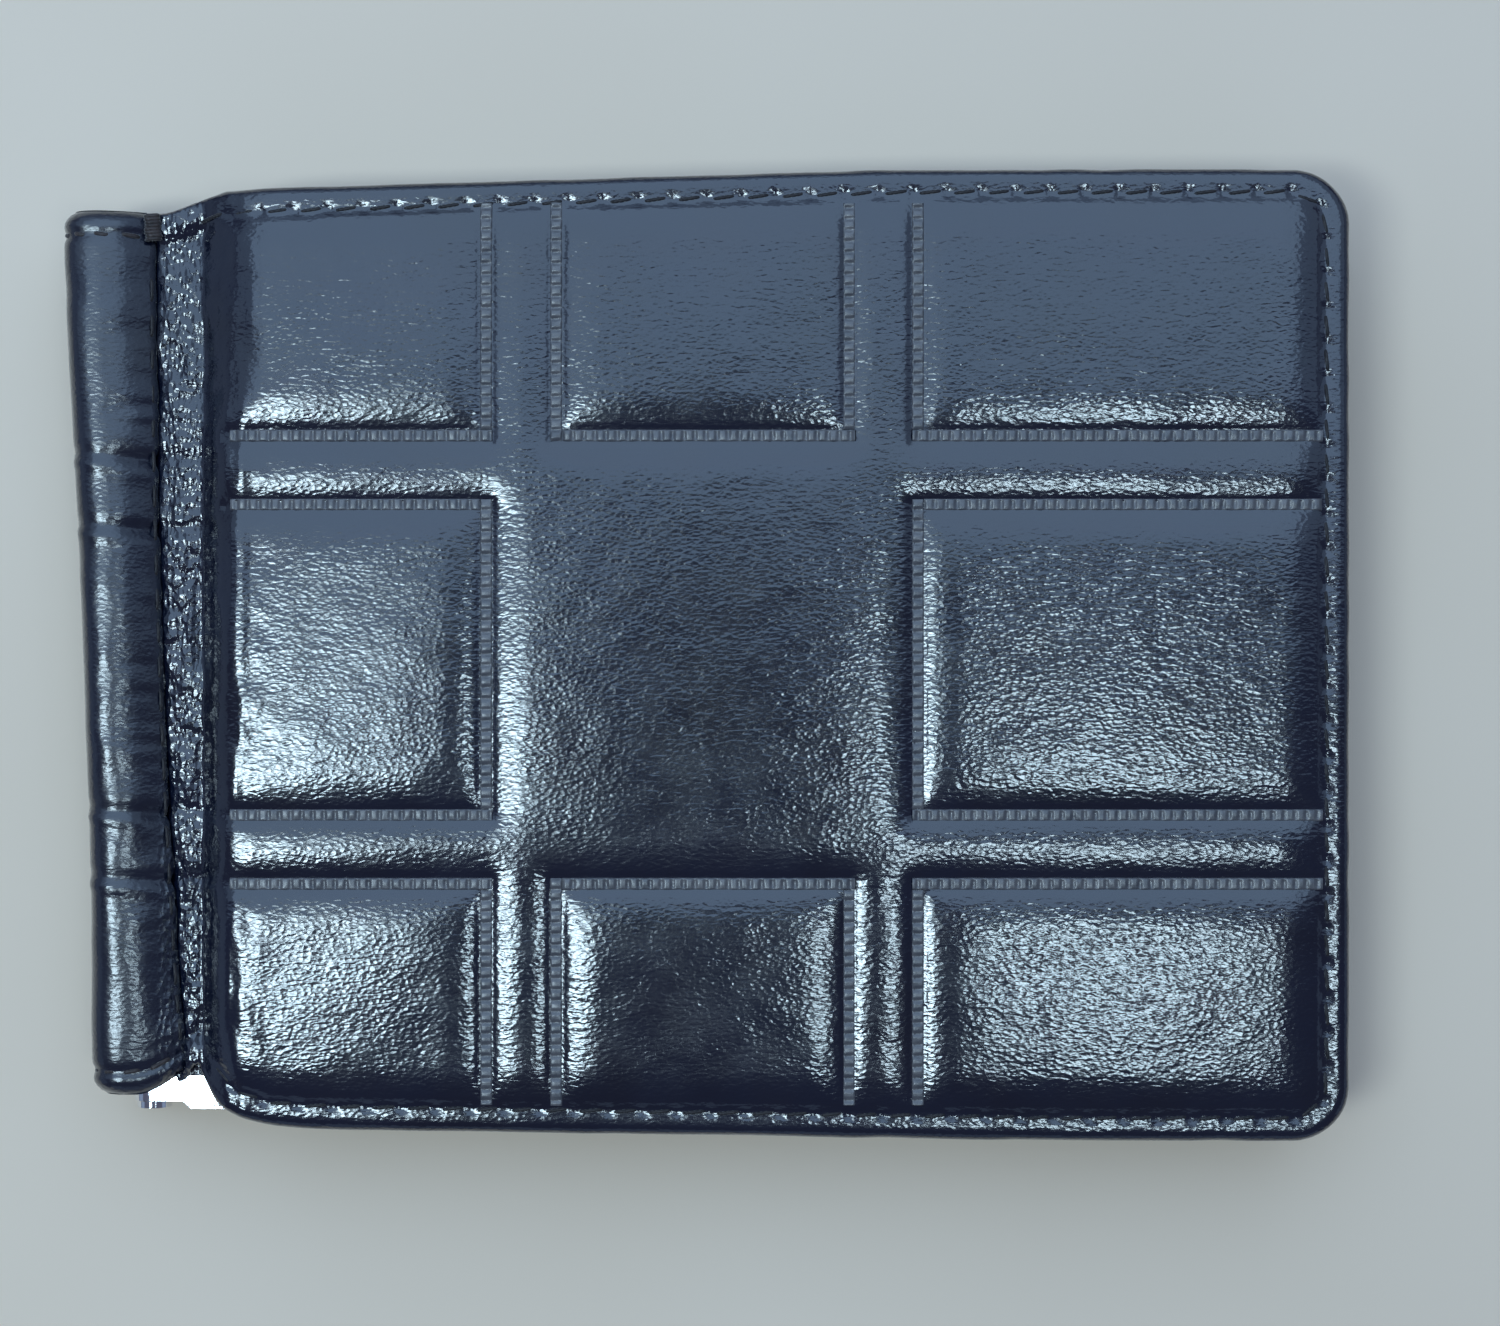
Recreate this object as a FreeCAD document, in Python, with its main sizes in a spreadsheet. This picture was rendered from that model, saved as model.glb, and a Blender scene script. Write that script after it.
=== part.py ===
import FreeCAD, Part
import math
import os

import Sketcher

# Padded bifold money clip wallet, closed, lying on its back cover.
# Millimetres. X runs from the rolled spine (-X) to the free edge (+X), Y runs along the spine,
# Z points up from the surface the wallet lies on. The origin is the bottom centre of its box.

BACK = "back"
FRONT = "front"
TOLERANCE = 1e-4

SIZES = {
    # whole wallet
    "overall_length": 115.0,
    "overall_width": 87.0,
    "overall_height": 15.0,
    # covers
    "cover_length": 102.8,
    "cover_width_at_spine": 83.6,
    "outer_corner_radius": 4.7,
    "hinge_corner_radius": 5.2,
    "rim_width": 2.6,
    "rim_drop": 1.2,
    "leather_thickness": 1.2,
    "foam_thickness": 2.0,
    "board_thickness": 0.6,
    "turned_edge_thickness": 0.5,
    "turned_edge_width": 8.0,
    "lining_thickness": 0.3,
    "pocket_thickness": 0.45,
    "pocket_step": 10.0,
    "first_pocket_mouth": 22.0,
    "hidden_pocket_mouth": 31.0,
    "panel_setback": 0.6,
    "assembly_gap": 0.1,
    "edge_round": 0.9,
    # pressed grid of bands on the covers
    "grid_centre_along": -0.3,
    "grid_centre_across": -0.5,
    "grid_inner_along": 13.1,
    "grid_outer_along": 19.2,
    "grid_inner_across": 14.0,
    "grid_outer_across": 20.2,
    "band_width": 1.1,
    "band_depth": 0.8,
    # perimeter stitching
    "stitch_inset": 2.2,
    "thread_width": 0.5,
    "thread_height": 0.25,
    "stitch_start": 3.5,
    "bar_tack_length": 2.0,
    "bar_tack_width": 1.0,
    "bar_tack_height": 0.4,
    "bar_tack_depth": 2.1,
    # rolled spine
    "roll_depth": 8.0,
    "roll_clearance": 1.5,
    "roll_length": 79.8,
    "roll_leather": 1.0,
    "roll_mouth": 6.3,
    "inner_strip_thickness": 0.8,
    "inner_strip_height": 6.8,
    "stiffener_thickness": 0.6,
    "stiffener_height": 5.0,
    "tunnel_gap": 0.7,
    # soft hinges: depths of the leather's middle under the wallet's outer face
    "hinge_leather": 1.2,
    "hinge_depth_at_roll": 3.1,
    "hinge_depth_in_valley": 3.6,
    "hinge_depth_at_cover": 2.7,
    "hinge_lining": 0.5,
    "seam_depth": 2.25,
    "seam_setback": 3.0,
    # fold axes: as far from the roll's outer side as from the resting face
    "fold_inset": 5.1,
    # spring clip
    "clip_shift": -1.5,
    "clip_half_width": 40.7,
    "clip_reach": 26.4,
    "arm_width": 3.5,
    "bar_width": 4.2,
    "strip_thickness": 0.8,
    "clip_corner_radius": 6.0,
    "neck_length": 3.0,
    "neck_shoulder": 0.8,
    "rod_radius": 1.0,
    "running_gap": 0.05,
    "rod_head_radius": 1.6,
    "rod_head_thickness": 0.6,
    "side_gap": 0.1,
    "cheek_outer": 32.8,
    "cheek_below_rod": 2.1,
    "cheek_above_rod": 2.9,
    "cheek_nose": 1.6,
    "cheek_chamfer": 1.3,
    "plate_thickness": 0.8,
    "channel_height": 6.6,
    "channel_half_length": 36.4,
    "coil_radius": 1.4,
    "spring_wire": 0.5,
    "coil_pitch": 0.62,
    "coil_turns": 5.25,
    "spring_leg": 8.0,
    "spring_foot": 1.9,
    "rivet_spacing": 48.0,
    "rivet_radius": 1.0,
    "rivet_head_radius": 1.8,
    "rivet_head_thickness": 0.5,
}


class Dim:
    """A size that carries both its value and the sheet expression that gives it."""

    def __init__(self, value, text):
        self.value = value
        self.text = text

    def __add__(self, other):
        other = as_dim(other)
        return Dim(self.value + other.value, f"({self.text} + {other.text})")

    def __sub__(self, other):
        other = as_dim(other)
        return Dim(self.value - other.value, f"({self.text} - {other.text})")

    def __mul__(self, factor):
        return Dim(self.value * factor, f"({self.text} * {factor})")

    def __neg__(self):
        return self * -1


def as_dim(value):
    return value if isinstance(value, Dim) else Dim(float(value), f"({float(value)})")


class Sizes:
    """The driving dimensions: one aliased sheet cell for each, reached as attributes."""

    def __init__(self, document, values):
        sheet = document.addObject("Spreadsheet::Sheet", "Sizes")
        for row, (alias, value) in enumerate(values.items(), start=1):
            sheet.set(f"A{row}", alias)
            sheet.set(f"B{row}", str(value))
            sheet.setAlias(f"B{row}", alias)
            setattr(self, alias, Dim(value, f"Sizes.{alias}"))
        document.recompute()


doc = FreeCAD.newDocument("money_clip_wallet")
size = Sizes(doc, SIZES)
nodes = []


# ---------------------------------------------------------------- sketch and feature helpers

def new_body(label):
    body = doc.addObject("PartDesign::Body", label)
    body.Label = label
    nodes.append(body)
    return body


def origin_plane(body, role):
    return next(plane for plane in body.Origin.OriginFeatures if plane.Role == role)


def new_sketch(body, role, offset):
    """An empty sketch on one of the body's origin planes, moved along that plane's normal."""
    sketch = body.newObject("Sketcher::SketchObject", "Sketch")
    sketch.AttachmentSupport = [(origin_plane(body, role), "")]
    sketch.MapMode = "FlatFace"
    sketch.setExpression("AttachmentOffset.Base.z", offset.text)
    return sketch


def hold(sketch, kind, geometry, point, value):
    """Fixes one coordinate of a sketch point, counted from the sketch's origin."""
    index = sketch.addConstraint(Sketcher.Constraint(kind, -1, 1, geometry, point, value.value))
    name = f"{kind}_{geometry}_{point}"
    sketch.renameConstraint(index, name)
    sketch.setExpression(f"Constraints.{name}", value.text)


def hold_radius(sketch, geometry, value):
    index = sketch.addConstraint(Sketcher.Constraint("Radius", geometry, value.value))
    name = f"Radius_{geometry}"
    sketch.renameConstraint(index, name)
    sketch.setExpression(f"Constraints.{name}", value.text)


def draw_polygon(sketch, corners):
    first = sketch.GeometryCount
    count = len(corners)
    points = [FreeCAD.Vector(x.value, y.value, 0) for x, y in corners]
    for i in range(count):
        sketch.addGeometry(Part.LineSegment(points[i], points[(i + 1) % count]), False)
    for i in range(count):
        following = first + (i + 1) % count
        sketch.addConstraint(Sketcher.Constraint("Coincident", first + i, 2, following, 1))
    for i, (x, y) in enumerate(corners):
        hold(sketch, "DistanceX", first + i, 1, x)
        hold(sketch, "DistanceY", first + i, 1, y)


def draw_circle(sketch, x, y, radius):
    index = sketch.GeometryCount
    centre = FreeCAD.Vector(x.value, y.value, 0)
    sketch.addGeometry(Part.Circle(centre, FreeCAD.Vector(0, 0, 1), radius.value), False)
    hold(sketch, "DistanceX", index, 3, x)
    hold(sketch, "DistanceY", index, 3, y)
    hold_radius(sketch, index, radius)


def draw_belt(sketch, circles):
    """The outline of a belt pulled tight round the corner circles, given anticlockwise."""
    count = len(circles)
    first = sketch.GeometryCount
    centres = [FreeCAD.Vector(x.value, y.value, 0) for x, y, radius in circles]
    radii = [radius.value for x, y, radius in circles]
    normals = []
    for i in range(count):
        j = (i + 1) % count
        run = centres[j] - centres[i]
        lean = math.asin((radii[i] - radii[j]) / run.Length)
        normals.append(math.atan2(run.y, run.x) - math.pi / 2 + lean)
    for i in range(count):
        j = (i + 1) % count
        out = FreeCAD.Vector(math.cos(normals[i]), math.sin(normals[i]), 0)
        start = centres[i] + out * radii[i]
        end = centres[j] + out * radii[j]
        sketch.addGeometry(Part.LineSegment(start, end), False)
    for i in range(count):
        turn_from = normals[i - 1]
        turn_to = normals[i]
        while turn_to < turn_from:
            turn_to += 2 * math.pi
        circle = Part.Circle(centres[i], FreeCAD.Vector(0, 0, 1), radii[i])
        sketch.addGeometry(Part.ArcOfCircle(circle, turn_from, turn_to), False)
    for i in range(count):
        arc = first + count + i
        line_in = first + (i - 1) % count
        line_out = first + i
        sketch.addConstraint(Sketcher.Constraint("Tangent", line_in, 2, arc, 1))
        sketch.addConstraint(Sketcher.Constraint("Tangent", arc, 2, line_out, 1))
        hold_radius(sketch, arc, circles[i][2])
        hold(sketch, "DistanceX", arc, 3, circles[i][0])
        hold(sketch, "DistanceY", arc, 3, circles[i][1])


def pad(body, sketch, length, backwards=False):
    feature = body.newObject("PartDesign::Pad", "Pad")
    feature.Profile = sketch
    feature.setExpression("Length", length.text)
    feature.Reversed = backwards
    doc.recompute()
    return feature


def pocket(body, sketch, length, backwards=False):
    before = body.Tip.Shape.Volume
    feature = body.newObject("PartDesign::Pocket", "Pocket")
    feature.Profile = sketch
    feature.setExpression("Length", length.text)
    feature.Reversed = backwards
    doc.recompute()
    if not feature.Shape.Volume < before:
        raise RuntimeError(f"a pocket of {body.Label} cuts nothing")
    return feature


def round_edges(body, radius, wanted):
    """Rounds the edges of the body's last feature that the test function picks."""
    base = body.Tip
    names = [f"Edge{i}" for i, edge in enumerate(base.Shape.Edges, start=1) if wanted(edge)]
    feature = body.newObject("PartDesign::Fillet", "Round")
    feature.Base = (base, names)
    feature.setExpression("Radius", radius.text)
    doc.recompute()
    return feature


def level(height):
    """Picks the edges that lie flat at one height."""
    def wanted(edge):
        box = edge.BoundBox
        low = abs(box.ZMin - height.value)
        high = abs(box.ZMax - height.value)
        return low < TOLERANCE and high < TOLERANCE
    return wanted


def upright(x):
    """Picks the vertical edges that stand at one place along X."""
    def wanted(edge):
        box = edge.BoundBox
        flat = box.XLength < TOLERANCE and box.YLength < TOLERANCE
        return flat and abs(box.XMin - x.value) < TOLERANCE
    return wanted


def bar_along_spine(label, corners, low_y, high_y):
    """A piece with one section in X and Z all along the spine."""
    body = new_body(label)
    sketch = new_sketch(body, "XZ_Plane", -high_y)
    draw_polygon(sketch, corners)
    pad(body, sketch, high_y - low_y)
    return body


def thread_block(label, side, depth, height, low_x, width, high_y, length):
    """A straight block of thread standing just outside the hinge leather."""
    outer = mirrored(side, depth)
    inner = mirrored(side, depth + height)
    low_z, high_z = (outer, inner) if side == BACK else (inner, outer)
    section = rectangle(low_x, low_x + width, low_z, high_z)
    bar_along_spine(label, section, high_y - length, high_y)


def rectangle(low_x, high_x, low_y, high_y):
    return [(low_x, low_y), (high_x, low_y), (high_x, high_y), (low_x, high_y)]


# ---------------------------------------------------------------- shared places

right_edge = size.overall_length * 0.5
spine_side = -right_edge
cover_left = right_edge - size.cover_length
roll_middle = spine_side + size.roll_depth * 0.5
roll_half_depth = size.roll_depth * 0.5
roll_low_centre = size.roll_clearance + roll_half_depth
roll_high_centre = size.overall_height - roll_low_centre
roll_inner_side = spine_side + size.roll_depth
roll_opening = spine_side + size.roll_mouth
fold_x = spine_side + size.fold_inset
fold_z = {BACK: size.fold_inset, FRONT: size.overall_height - size.fold_inset}

shell_depth = (
    size.leather_thickness + size.foam_thickness + size.board_thickness
    + size.turned_edge_thickness
)
board_depth = size.leather_thickness + size.foam_thickness
flange_depth = board_depth + size.board_thickness
pocket_depth = shell_depth + size.lining_thickness
inner_face_depth = pocket_depth + size.pocket_thickness * 3


def layer(side, outer_depth, inner_depth):
    """Lowest height and thickness of a layer, from its depths under the cover's outer face."""
    low = outer_depth if side == BACK else size.overall_height - inner_depth
    return low, inner_depth - outer_depth


def mirrored(side, height):
    """A height on the back half, or the same place on the front half."""
    return height if side == BACK else size.overall_height - height


def cover_outline(sketch, inset):
    """The cover's outline, a trapezoid with round corners, drawn in by the inset."""
    inset = as_dim(inset)
    right_x = right_edge - size.outer_corner_radius
    right_y = size.overall_width * 0.5 - size.outer_corner_radius
    left_x = cover_left + size.hinge_corner_radius
    left_y = size.cover_width_at_spine * 0.5 - size.hinge_corner_radius
    outer = size.outer_corner_radius - inset
    hinge = size.hinge_corner_radius - inset
    draw_belt(sketch, [
        (right_x, -right_y, outer),
        (right_x, right_y, outer),
        (left_x, left_y, hinge),
        (left_x, -left_y, hinge),
    ])


def outline_pad(body, side, inset, outer_depth, inner_depth):
    low, thickness = layer(side, outer_depth, inner_depth)
    sketch = new_sketch(body, "XY_Plane", low)
    cover_outline(sketch, inset)
    return pad(body, sketch, thickness)


def outline_pocket(body, side, inset, outer_depth, inner_depth):
    low, thickness = layer(side, outer_depth, inner_depth)
    sketch = new_sketch(body, "XY_Plane", low + thickness)
    cover_outline(sketch, inset)
    return pocket(body, sketch, thickness)


# ---------------------------------------------------------------- covers

grid_x = [
    size.grid_centre_along - size.grid_outer_along,
    size.grid_centre_along - size.grid_inner_along,
    size.grid_centre_along + size.grid_inner_along,
    size.grid_centre_along + size.grid_outer_along,
]
grid_y = [
    size.grid_centre_across - size.grid_outer_across,
    size.grid_centre_across - size.grid_inner_across,
    size.grid_centre_across + size.grid_inner_across,
    size.grid_centre_across + size.grid_outer_across,
]


def corner_groove(corner_x, corner_y, edge_x, edge_y, toward_x, toward_y):
    """An L of pressed band round the inner corner of a corner tile."""
    half_x = size.band_width * (0.5 * toward_x)
    half_y = size.band_width * (0.5 * toward_y)
    return [
        (corner_x - half_x, edge_y),
        (corner_x - half_x, corner_y - half_y),
        (edge_x, corner_y - half_y),
        (edge_x, corner_y + half_y),
        (corner_x + half_x, corner_y + half_y),
        (corner_x + half_x, edge_y),
    ]


def side_groove(low, high, near, edge, toward, swapped):
    """A U of pressed band round the three inner sides of a tile between two corner tiles."""
    half = size.band_width * 0.5
    step = size.band_width * (0.5 * toward)
    corners = [
        (low - half, edge),
        (low - half, near - step),
        (high + half, near - step),
        (high + half, edge),
        (high - half, edge),
        (high - half, near + step),
        (low + half, near + step),
        (low + half, edge),
    ]
    return [(y, x) for x, y in corners] if swapped else corners


def grid_grooves():
    """The eight grooves that leave eight tiles round a plain middle square."""
    half_width = size.overall_width * 0.5
    grooves = []
    for toward_x, line_x, edge_x in ((-1, grid_x[0], cover_left), (1, grid_x[3], right_edge)):
        for toward_y, line_y in ((-1, grid_y[0]), (1, grid_y[3])):
            edge_y = half_width * toward_y
            grooves.append(corner_groove(line_x, line_y, edge_x, edge_y, toward_x, toward_y))
    for toward, near in ((-1, grid_y[0]), (1, grid_y[3])):
        edge = half_width * toward
        grooves.append(side_groove(grid_x[1], grid_x[2], near, edge, toward, False))
    for toward, near, edge in ((-1, grid_x[0], cover_left), (1, grid_x[3], right_edge)):
        grooves.append(side_groove(grid_y[1], grid_y[2], near, edge, toward, True))
    return grooves


def outer_leather(side):
    """The padded outer leather: rim, raised field, hollow for the foam and a turned-in edge."""
    body = new_body(f"{side}_outer_leather")
    outline_pad(body, side, 0, size.rim_drop, shell_depth)
    rim_face = mirrored(side, size.rim_drop)
    round_edges(body, size.edge_round, level(rim_face))
    outline_pad(body, side, size.rim_width, Dim(0.0, "0"), size.rim_drop)
    round_edges(body, size.edge_round, level(mirrored(side, Dim(0.0, "0"))))
    rim_underside = size.rim_drop + size.leather_thickness
    outline_pocket(body, side, size.leather_thickness, rim_underside, flange_depth)
    field_inset = size.rim_width + size.leather_thickness
    outline_pocket(body, side, field_inset, size.leather_thickness, rim_underside)
    low, thickness = layer(side, flange_depth, shell_depth)
    opening = new_sketch(body, "XY_Plane", low + thickness)
    reach = size.turned_edge_width
    draw_polygon(opening, rectangle(
        cover_left + reach, right_edge - reach,
        reach - size.cover_width_at_spine * 0.5, size.cover_width_at_spine * 0.5 - reach,
    ))
    pocket(body, opening, thickness)
    low, thickness = layer(side, Dim(0.0, "0"), size.band_depth)
    grooves = new_sketch(body, "XY_Plane", low + thickness)
    for groove in grid_grooves():
        draw_polygon(grooves, groove)
    pocket(body, grooves, thickness)


def foam_pad(side):
    body = new_body(f"{side}_foam_pad")
    gap = size.assembly_gap
    rim_underside = size.rim_drop + size.leather_thickness
    outline_pad(body, side, size.leather_thickness + gap, rim_underside, board_depth)
    field_inset = size.rim_width + size.leather_thickness + gap
    outline_pad(body, side, field_inset, size.leather_thickness, rim_underside)


def flat_panel(label, side, inset, outer_depth, inner_depth, mouth=None):
    """A panel with the cover's outline, cut off straight at its mouth if it is a pocket."""
    body = new_body(label)
    outline_pad(body, side, inset, outer_depth, inner_depth)
    if mouth is not None:
        low, thickness = layer(side, outer_depth, inner_depth)
        cut = new_sketch(body, "XY_Plane", low + thickness)
        draw_polygon(cut, rectangle(
            cover_left, right_edge, mouth, size.overall_width * 0.5,
        ))
        pocket(body, cut, thickness)


def perimeter_thread(side):
    """The line of stitches along the rim, on the three sides away from the spine."""
    body = new_body(f"{side}_perimeter_thread")
    half = size.thread_width * 0.5
    rim_face = size.rim_drop
    outline_pad(body, side, size.stitch_inset - half, rim_face - size.thread_height, rim_face)
    outline_pocket(body, side, size.stitch_inset + half, rim_face - size.thread_height, rim_face)
    low, thickness = layer(side, rim_face - size.thread_height, rim_face)
    cut = new_sketch(body, "XY_Plane", low + thickness)
    half_width = size.overall_width * 0.5
    draw_polygon(cut, rectangle(
        cover_left, cover_left + size.stitch_start, -half_width, half_width,
    ))
    pocket(body, cut, thickness)


def cover(side):
    outer_leather(side)
    foam_pad(side)
    gap = size.leather_thickness + size.assembly_gap
    flat_panel(f"{side}_board", side, gap, board_depth, flange_depth)
    flat_panel(f"{side}_lining", side, size.panel_setback, shell_depth, pocket_depth)
    perimeter_thread(side)


def card_pockets():
    """Three overlapping card slots inside the front cover, open towards +Y."""
    depth = pocket_depth
    for number in range(3):
        mouth = size.first_pocket_mouth - size.pocket_step * number
        deeper = depth + size.pocket_thickness
        label = f"card_slot_{number + 1}"
        flat_panel(label, FRONT, size.panel_setback, depth, deeper, mouth)
        depth = deeper


def note_side_panels():
    """Inside the back cover: a hidden slip pocket, and the plain panel that notes lie on."""
    hidden_depth = pocket_depth + size.pocket_thickness
    flat_panel("back_slip_pocket", BACK, size.panel_setback, pocket_depth, hidden_depth,
               size.hidden_pocket_mouth)
    flat_panel("note_panel", BACK, size.panel_setback, hidden_depth, inner_face_depth)


# ---------------------------------------------------------------- spine

half_roll = size.roll_length * 0.5
clip_inner_half = size.clip_half_width - size.arm_width
tunnel_low = size.clip_shift - clip_inner_half + size.tunnel_gap
tunnel_high = size.clip_shift + clip_inner_half - size.tunnel_gap


def draw_roll(sketch, inset):
    radius = roll_half_depth - inset
    draw_belt(sketch, [
        (roll_middle, roll_low_centre, radius),
        (roll_middle, roll_high_centre, radius),
    ])


def spine_outer_leather():
    """The leather rolled round the clip's base, open towards the covers."""
    body = new_body("spine_outer_leather")
    outside = new_sketch(body, "XZ_Plane", -half_roll)
    draw_roll(outside, as_dim(0))
    pad(body, outside, size.roll_length)
    inside = new_sketch(body, "XZ_Plane", half_roll)
    draw_roll(inside, size.roll_leather)
    pocket(body, inside, size.roll_length)
    mouth = new_sketch(body, "XZ_Plane", half_roll)
    draw_polygon(mouth, rectangle(
        roll_opening, cover_left, as_dim(0), size.overall_height,
    ))
    pocket(body, mouth, size.roll_length)


def spine_inner_leather():
    """The strip that closes the roll between the two clip arms."""
    middle = size.overall_height * 0.5
    half = size.inner_strip_height * 0.5
    outer_x = roll_inner_side - size.assembly_gap
    bar_along_spine("spine_inner_leather", rectangle(
        outer_x - size.inner_strip_thickness, outer_x, middle - half, middle + half,
    ), tunnel_low, tunnel_high)


channel_back = spine_side + size.roll_leather + size.assembly_gap + size.stiffener_thickness
channel_front = channel_back + size.plate_thickness


def rivet_places():
    half = size.rivet_spacing * 0.5
    return [size.clip_shift - half, size.clip_shift + half]


def rivet_holes(body, high_x, depth):
    sketch = new_sketch(body, "YZ_Plane", high_x)
    for y in rivet_places():
        radius = size.rivet_radius + size.running_gap
        draw_circle(sketch, y, size.overall_height * 0.5, radius)
    pocket(body, sketch, depth)


def spine_stiffener():
    """The board behind the clip's base channel."""
    middle = size.overall_height * 0.5
    half = size.stiffener_height * 0.5
    body = bar_along_spine("spine_stiffener", rectangle(
        channel_back - size.stiffener_thickness, channel_back, middle - half, middle + half,
    ), size.clip_shift - size.channel_half_length, size.clip_shift + size.channel_half_length)
    rivet_holes(body, channel_back, size.stiffener_thickness)


def clip_base_channel():
    """The steel channel that holds the pivot rod: a web along the roll and two end cheeks."""
    low_z = size.overall_height * 0.5 - size.channel_height * 0.5
    high_z = size.overall_height * 0.5 + size.channel_height * 0.5
    body = bar_along_spine("clip_base_channel", rectangle(
        channel_back, channel_front, low_z, high_z,
    ), size.clip_shift - size.channel_half_length, size.clip_shift + size.channel_half_length)
    rivet_holes(body, channel_front, size.plate_thickness)
    rod_z = fold_z[BACK]
    below = rod_z - size.cheek_below_rod
    above = rod_z + size.cheek_above_rod
    nose_x = fold_x + size.cheek_nose
    cheek = [
        (channel_back, low_z),
        (fold_x - size.cheek_below_rod, below),
        (nose_x - size.cheek_chamfer, below),
        (nose_x, below + size.cheek_chamfer),
        (nose_x, above - size.cheek_chamfer),
        (nose_x - size.cheek_chamfer, above),
        (channel_back, above),
    ]
    for high_y in (
        size.clip_shift + size.cheek_outer,
        size.clip_shift - size.cheek_outer + size.plate_thickness,
    ):
        sketch = new_sketch(body, "XZ_Plane", -high_y)
        draw_polygon(sketch, cheek)
        pad(body, sketch, size.plate_thickness)
    hole = new_sketch(body, "XZ_Plane", size.cheek_outer - size.clip_shift)
    draw_circle(hole, fold_x, rod_z, size.rod_radius + size.running_gap)
    pocket(body, hole, size.cheek_outer * 2)


def clip_rivets():
    """Two rivets through the channel's web and the stiffener."""
    body = new_body("clip_rivets")
    shank_start = channel_back - size.stiffener_thickness
    middle = size.overall_height * 0.5
    shank = new_sketch(body, "YZ_Plane", shank_start)
    head = new_sketch(body, "YZ_Plane", channel_front)
    for y in rivet_places():
        draw_circle(shank, y, middle, size.rivet_radius)
        draw_circle(head, y, middle, size.rivet_head_radius)
    pad(body, head, size.rivet_head_thickness)
    pad(body, shank, channel_front - shank_start)


def round_bar(body, low_y, high_y, radius):
    """A round length of the body along the back fold axis."""
    sketch = new_sketch(body, "XZ_Plane", -high_y)
    draw_circle(sketch, fold_x, fold_z[BACK], radius)
    pad(body, sketch, high_y - low_y)


def clip_pivot_rod():
    """The rod through both cheeks and both knuckles, with a flat head at each end."""
    body = new_body("clip_pivot_rod")
    low = size.clip_shift - size.clip_half_width
    high = size.clip_shift + size.clip_half_width
    head = size.rod_head_thickness
    round_bar(body, low + head * 0.5, high - head * 0.5, size.rod_radius)
    round_bar(body, low, low + head, size.rod_head_radius)
    round_bar(body, high - head, high, size.rod_head_radius)


def torsion_spring(label, toward):
    """A coil round the rod between cheek and knuckle, with a foot down and a leg on the arm."""
    body = new_body(label)
    wire = size.spring_wire * 0.5
    run = size.coil_pitch * size.coil_turns.value
    arm_end = clip_inner_half - wire - size.side_gap * 1.5
    arm_end_y = size.clip_shift + arm_end * toward
    start_y = arm_end_y - run * toward
    profile = new_sketch(body, "XY_Plane", fold_z[BACK])
    profile.setExpression("AttachmentOffset.Base.x", fold_x.text)
    draw_circle(profile, -size.coil_radius, start_y, wire)
    coil = body.newObject("PartDesign::AdditiveHelix", "Coil")
    coil.Profile = profile
    coil.ReferenceAxis = (profile, ["V_Axis"])
    coil.Mode = "pitch-turns-angle"
    coil.setExpression("Pitch", size.coil_pitch.text)
    coil.setExpression("Turns", size.coil_turns.text)
    coil.Reversed = toward < 0
    coil.LeftHanded = toward < 0
    doc.recompute()
    foot = new_sketch(body, "XY_Plane", fold_z[BACK])
    draw_circle(foot, fold_x - size.coil_radius, start_y, wire)
    pad(body, foot, size.spring_foot, backwards=True)
    leg_start = fold_x - size.side_gap
    leg = new_sketch(body, "YZ_Plane", leg_start)
    leg_wire = wire + size.side_gap * 0.2
    draw_circle(leg, arm_end_y, fold_z[BACK] + size.coil_radius, leg_wire)
    pad(body, leg, size.spring_leg)


def hinge_leathers(side):
    """The soft outer leather and the lining between the roll and one cover."""
    gap = size.assembly_gap
    half = size.hinge_leather * 0.5
    roll_end = roll_opening + gap
    cover_end = cover_left - gap
    middle_line = [
        (roll_end, size.hinge_depth_at_roll),
        ((roll_end + cover_end) * 0.5, size.hinge_depth_in_valley),
        (cover_end, size.hinge_depth_at_cover),
    ]
    outer_line = [(x, mirrored(side, depth - half)) for x, depth in middle_line]
    inner_line = [(x, mirrored(side, depth + half)) for x, depth in reversed(middle_line)]
    bar_along_spine(f"{side}_hinge_leather", outer_line + inner_line, gap - half_roll,
                    half_roll - gap)
    low, thickness = layer(side, shell_depth, shell_depth + size.hinge_lining)
    bar_along_spine(f"{side}_hinge_lining", rectangle(
        roll_inner_side, cover_end, low, low + thickness,
    ), tunnel_low, tunnel_high)


def hinge_threads(side):
    """The seam that closes the roll's edge along the hinge, and its bar tack at the upper end."""
    seam_x = roll_opening + size.assembly_gap + size.thread_width
    seam_length = size.roll_length - size.seam_setback * 2
    thread_block(f"{side}_seam_thread", side, size.seam_depth, size.thread_height,
                 seam_x, size.thread_width, half_roll - size.seam_setback, seam_length)
    thread_block(f"{side}_bar_tack", side, size.bar_tack_depth, size.bar_tack_height,
                 roll_opening + size.thread_width, size.bar_tack_width,
                 half_roll - size.thread_width, size.bar_tack_length)


# ---------------------------------------------------------------- clip

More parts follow.
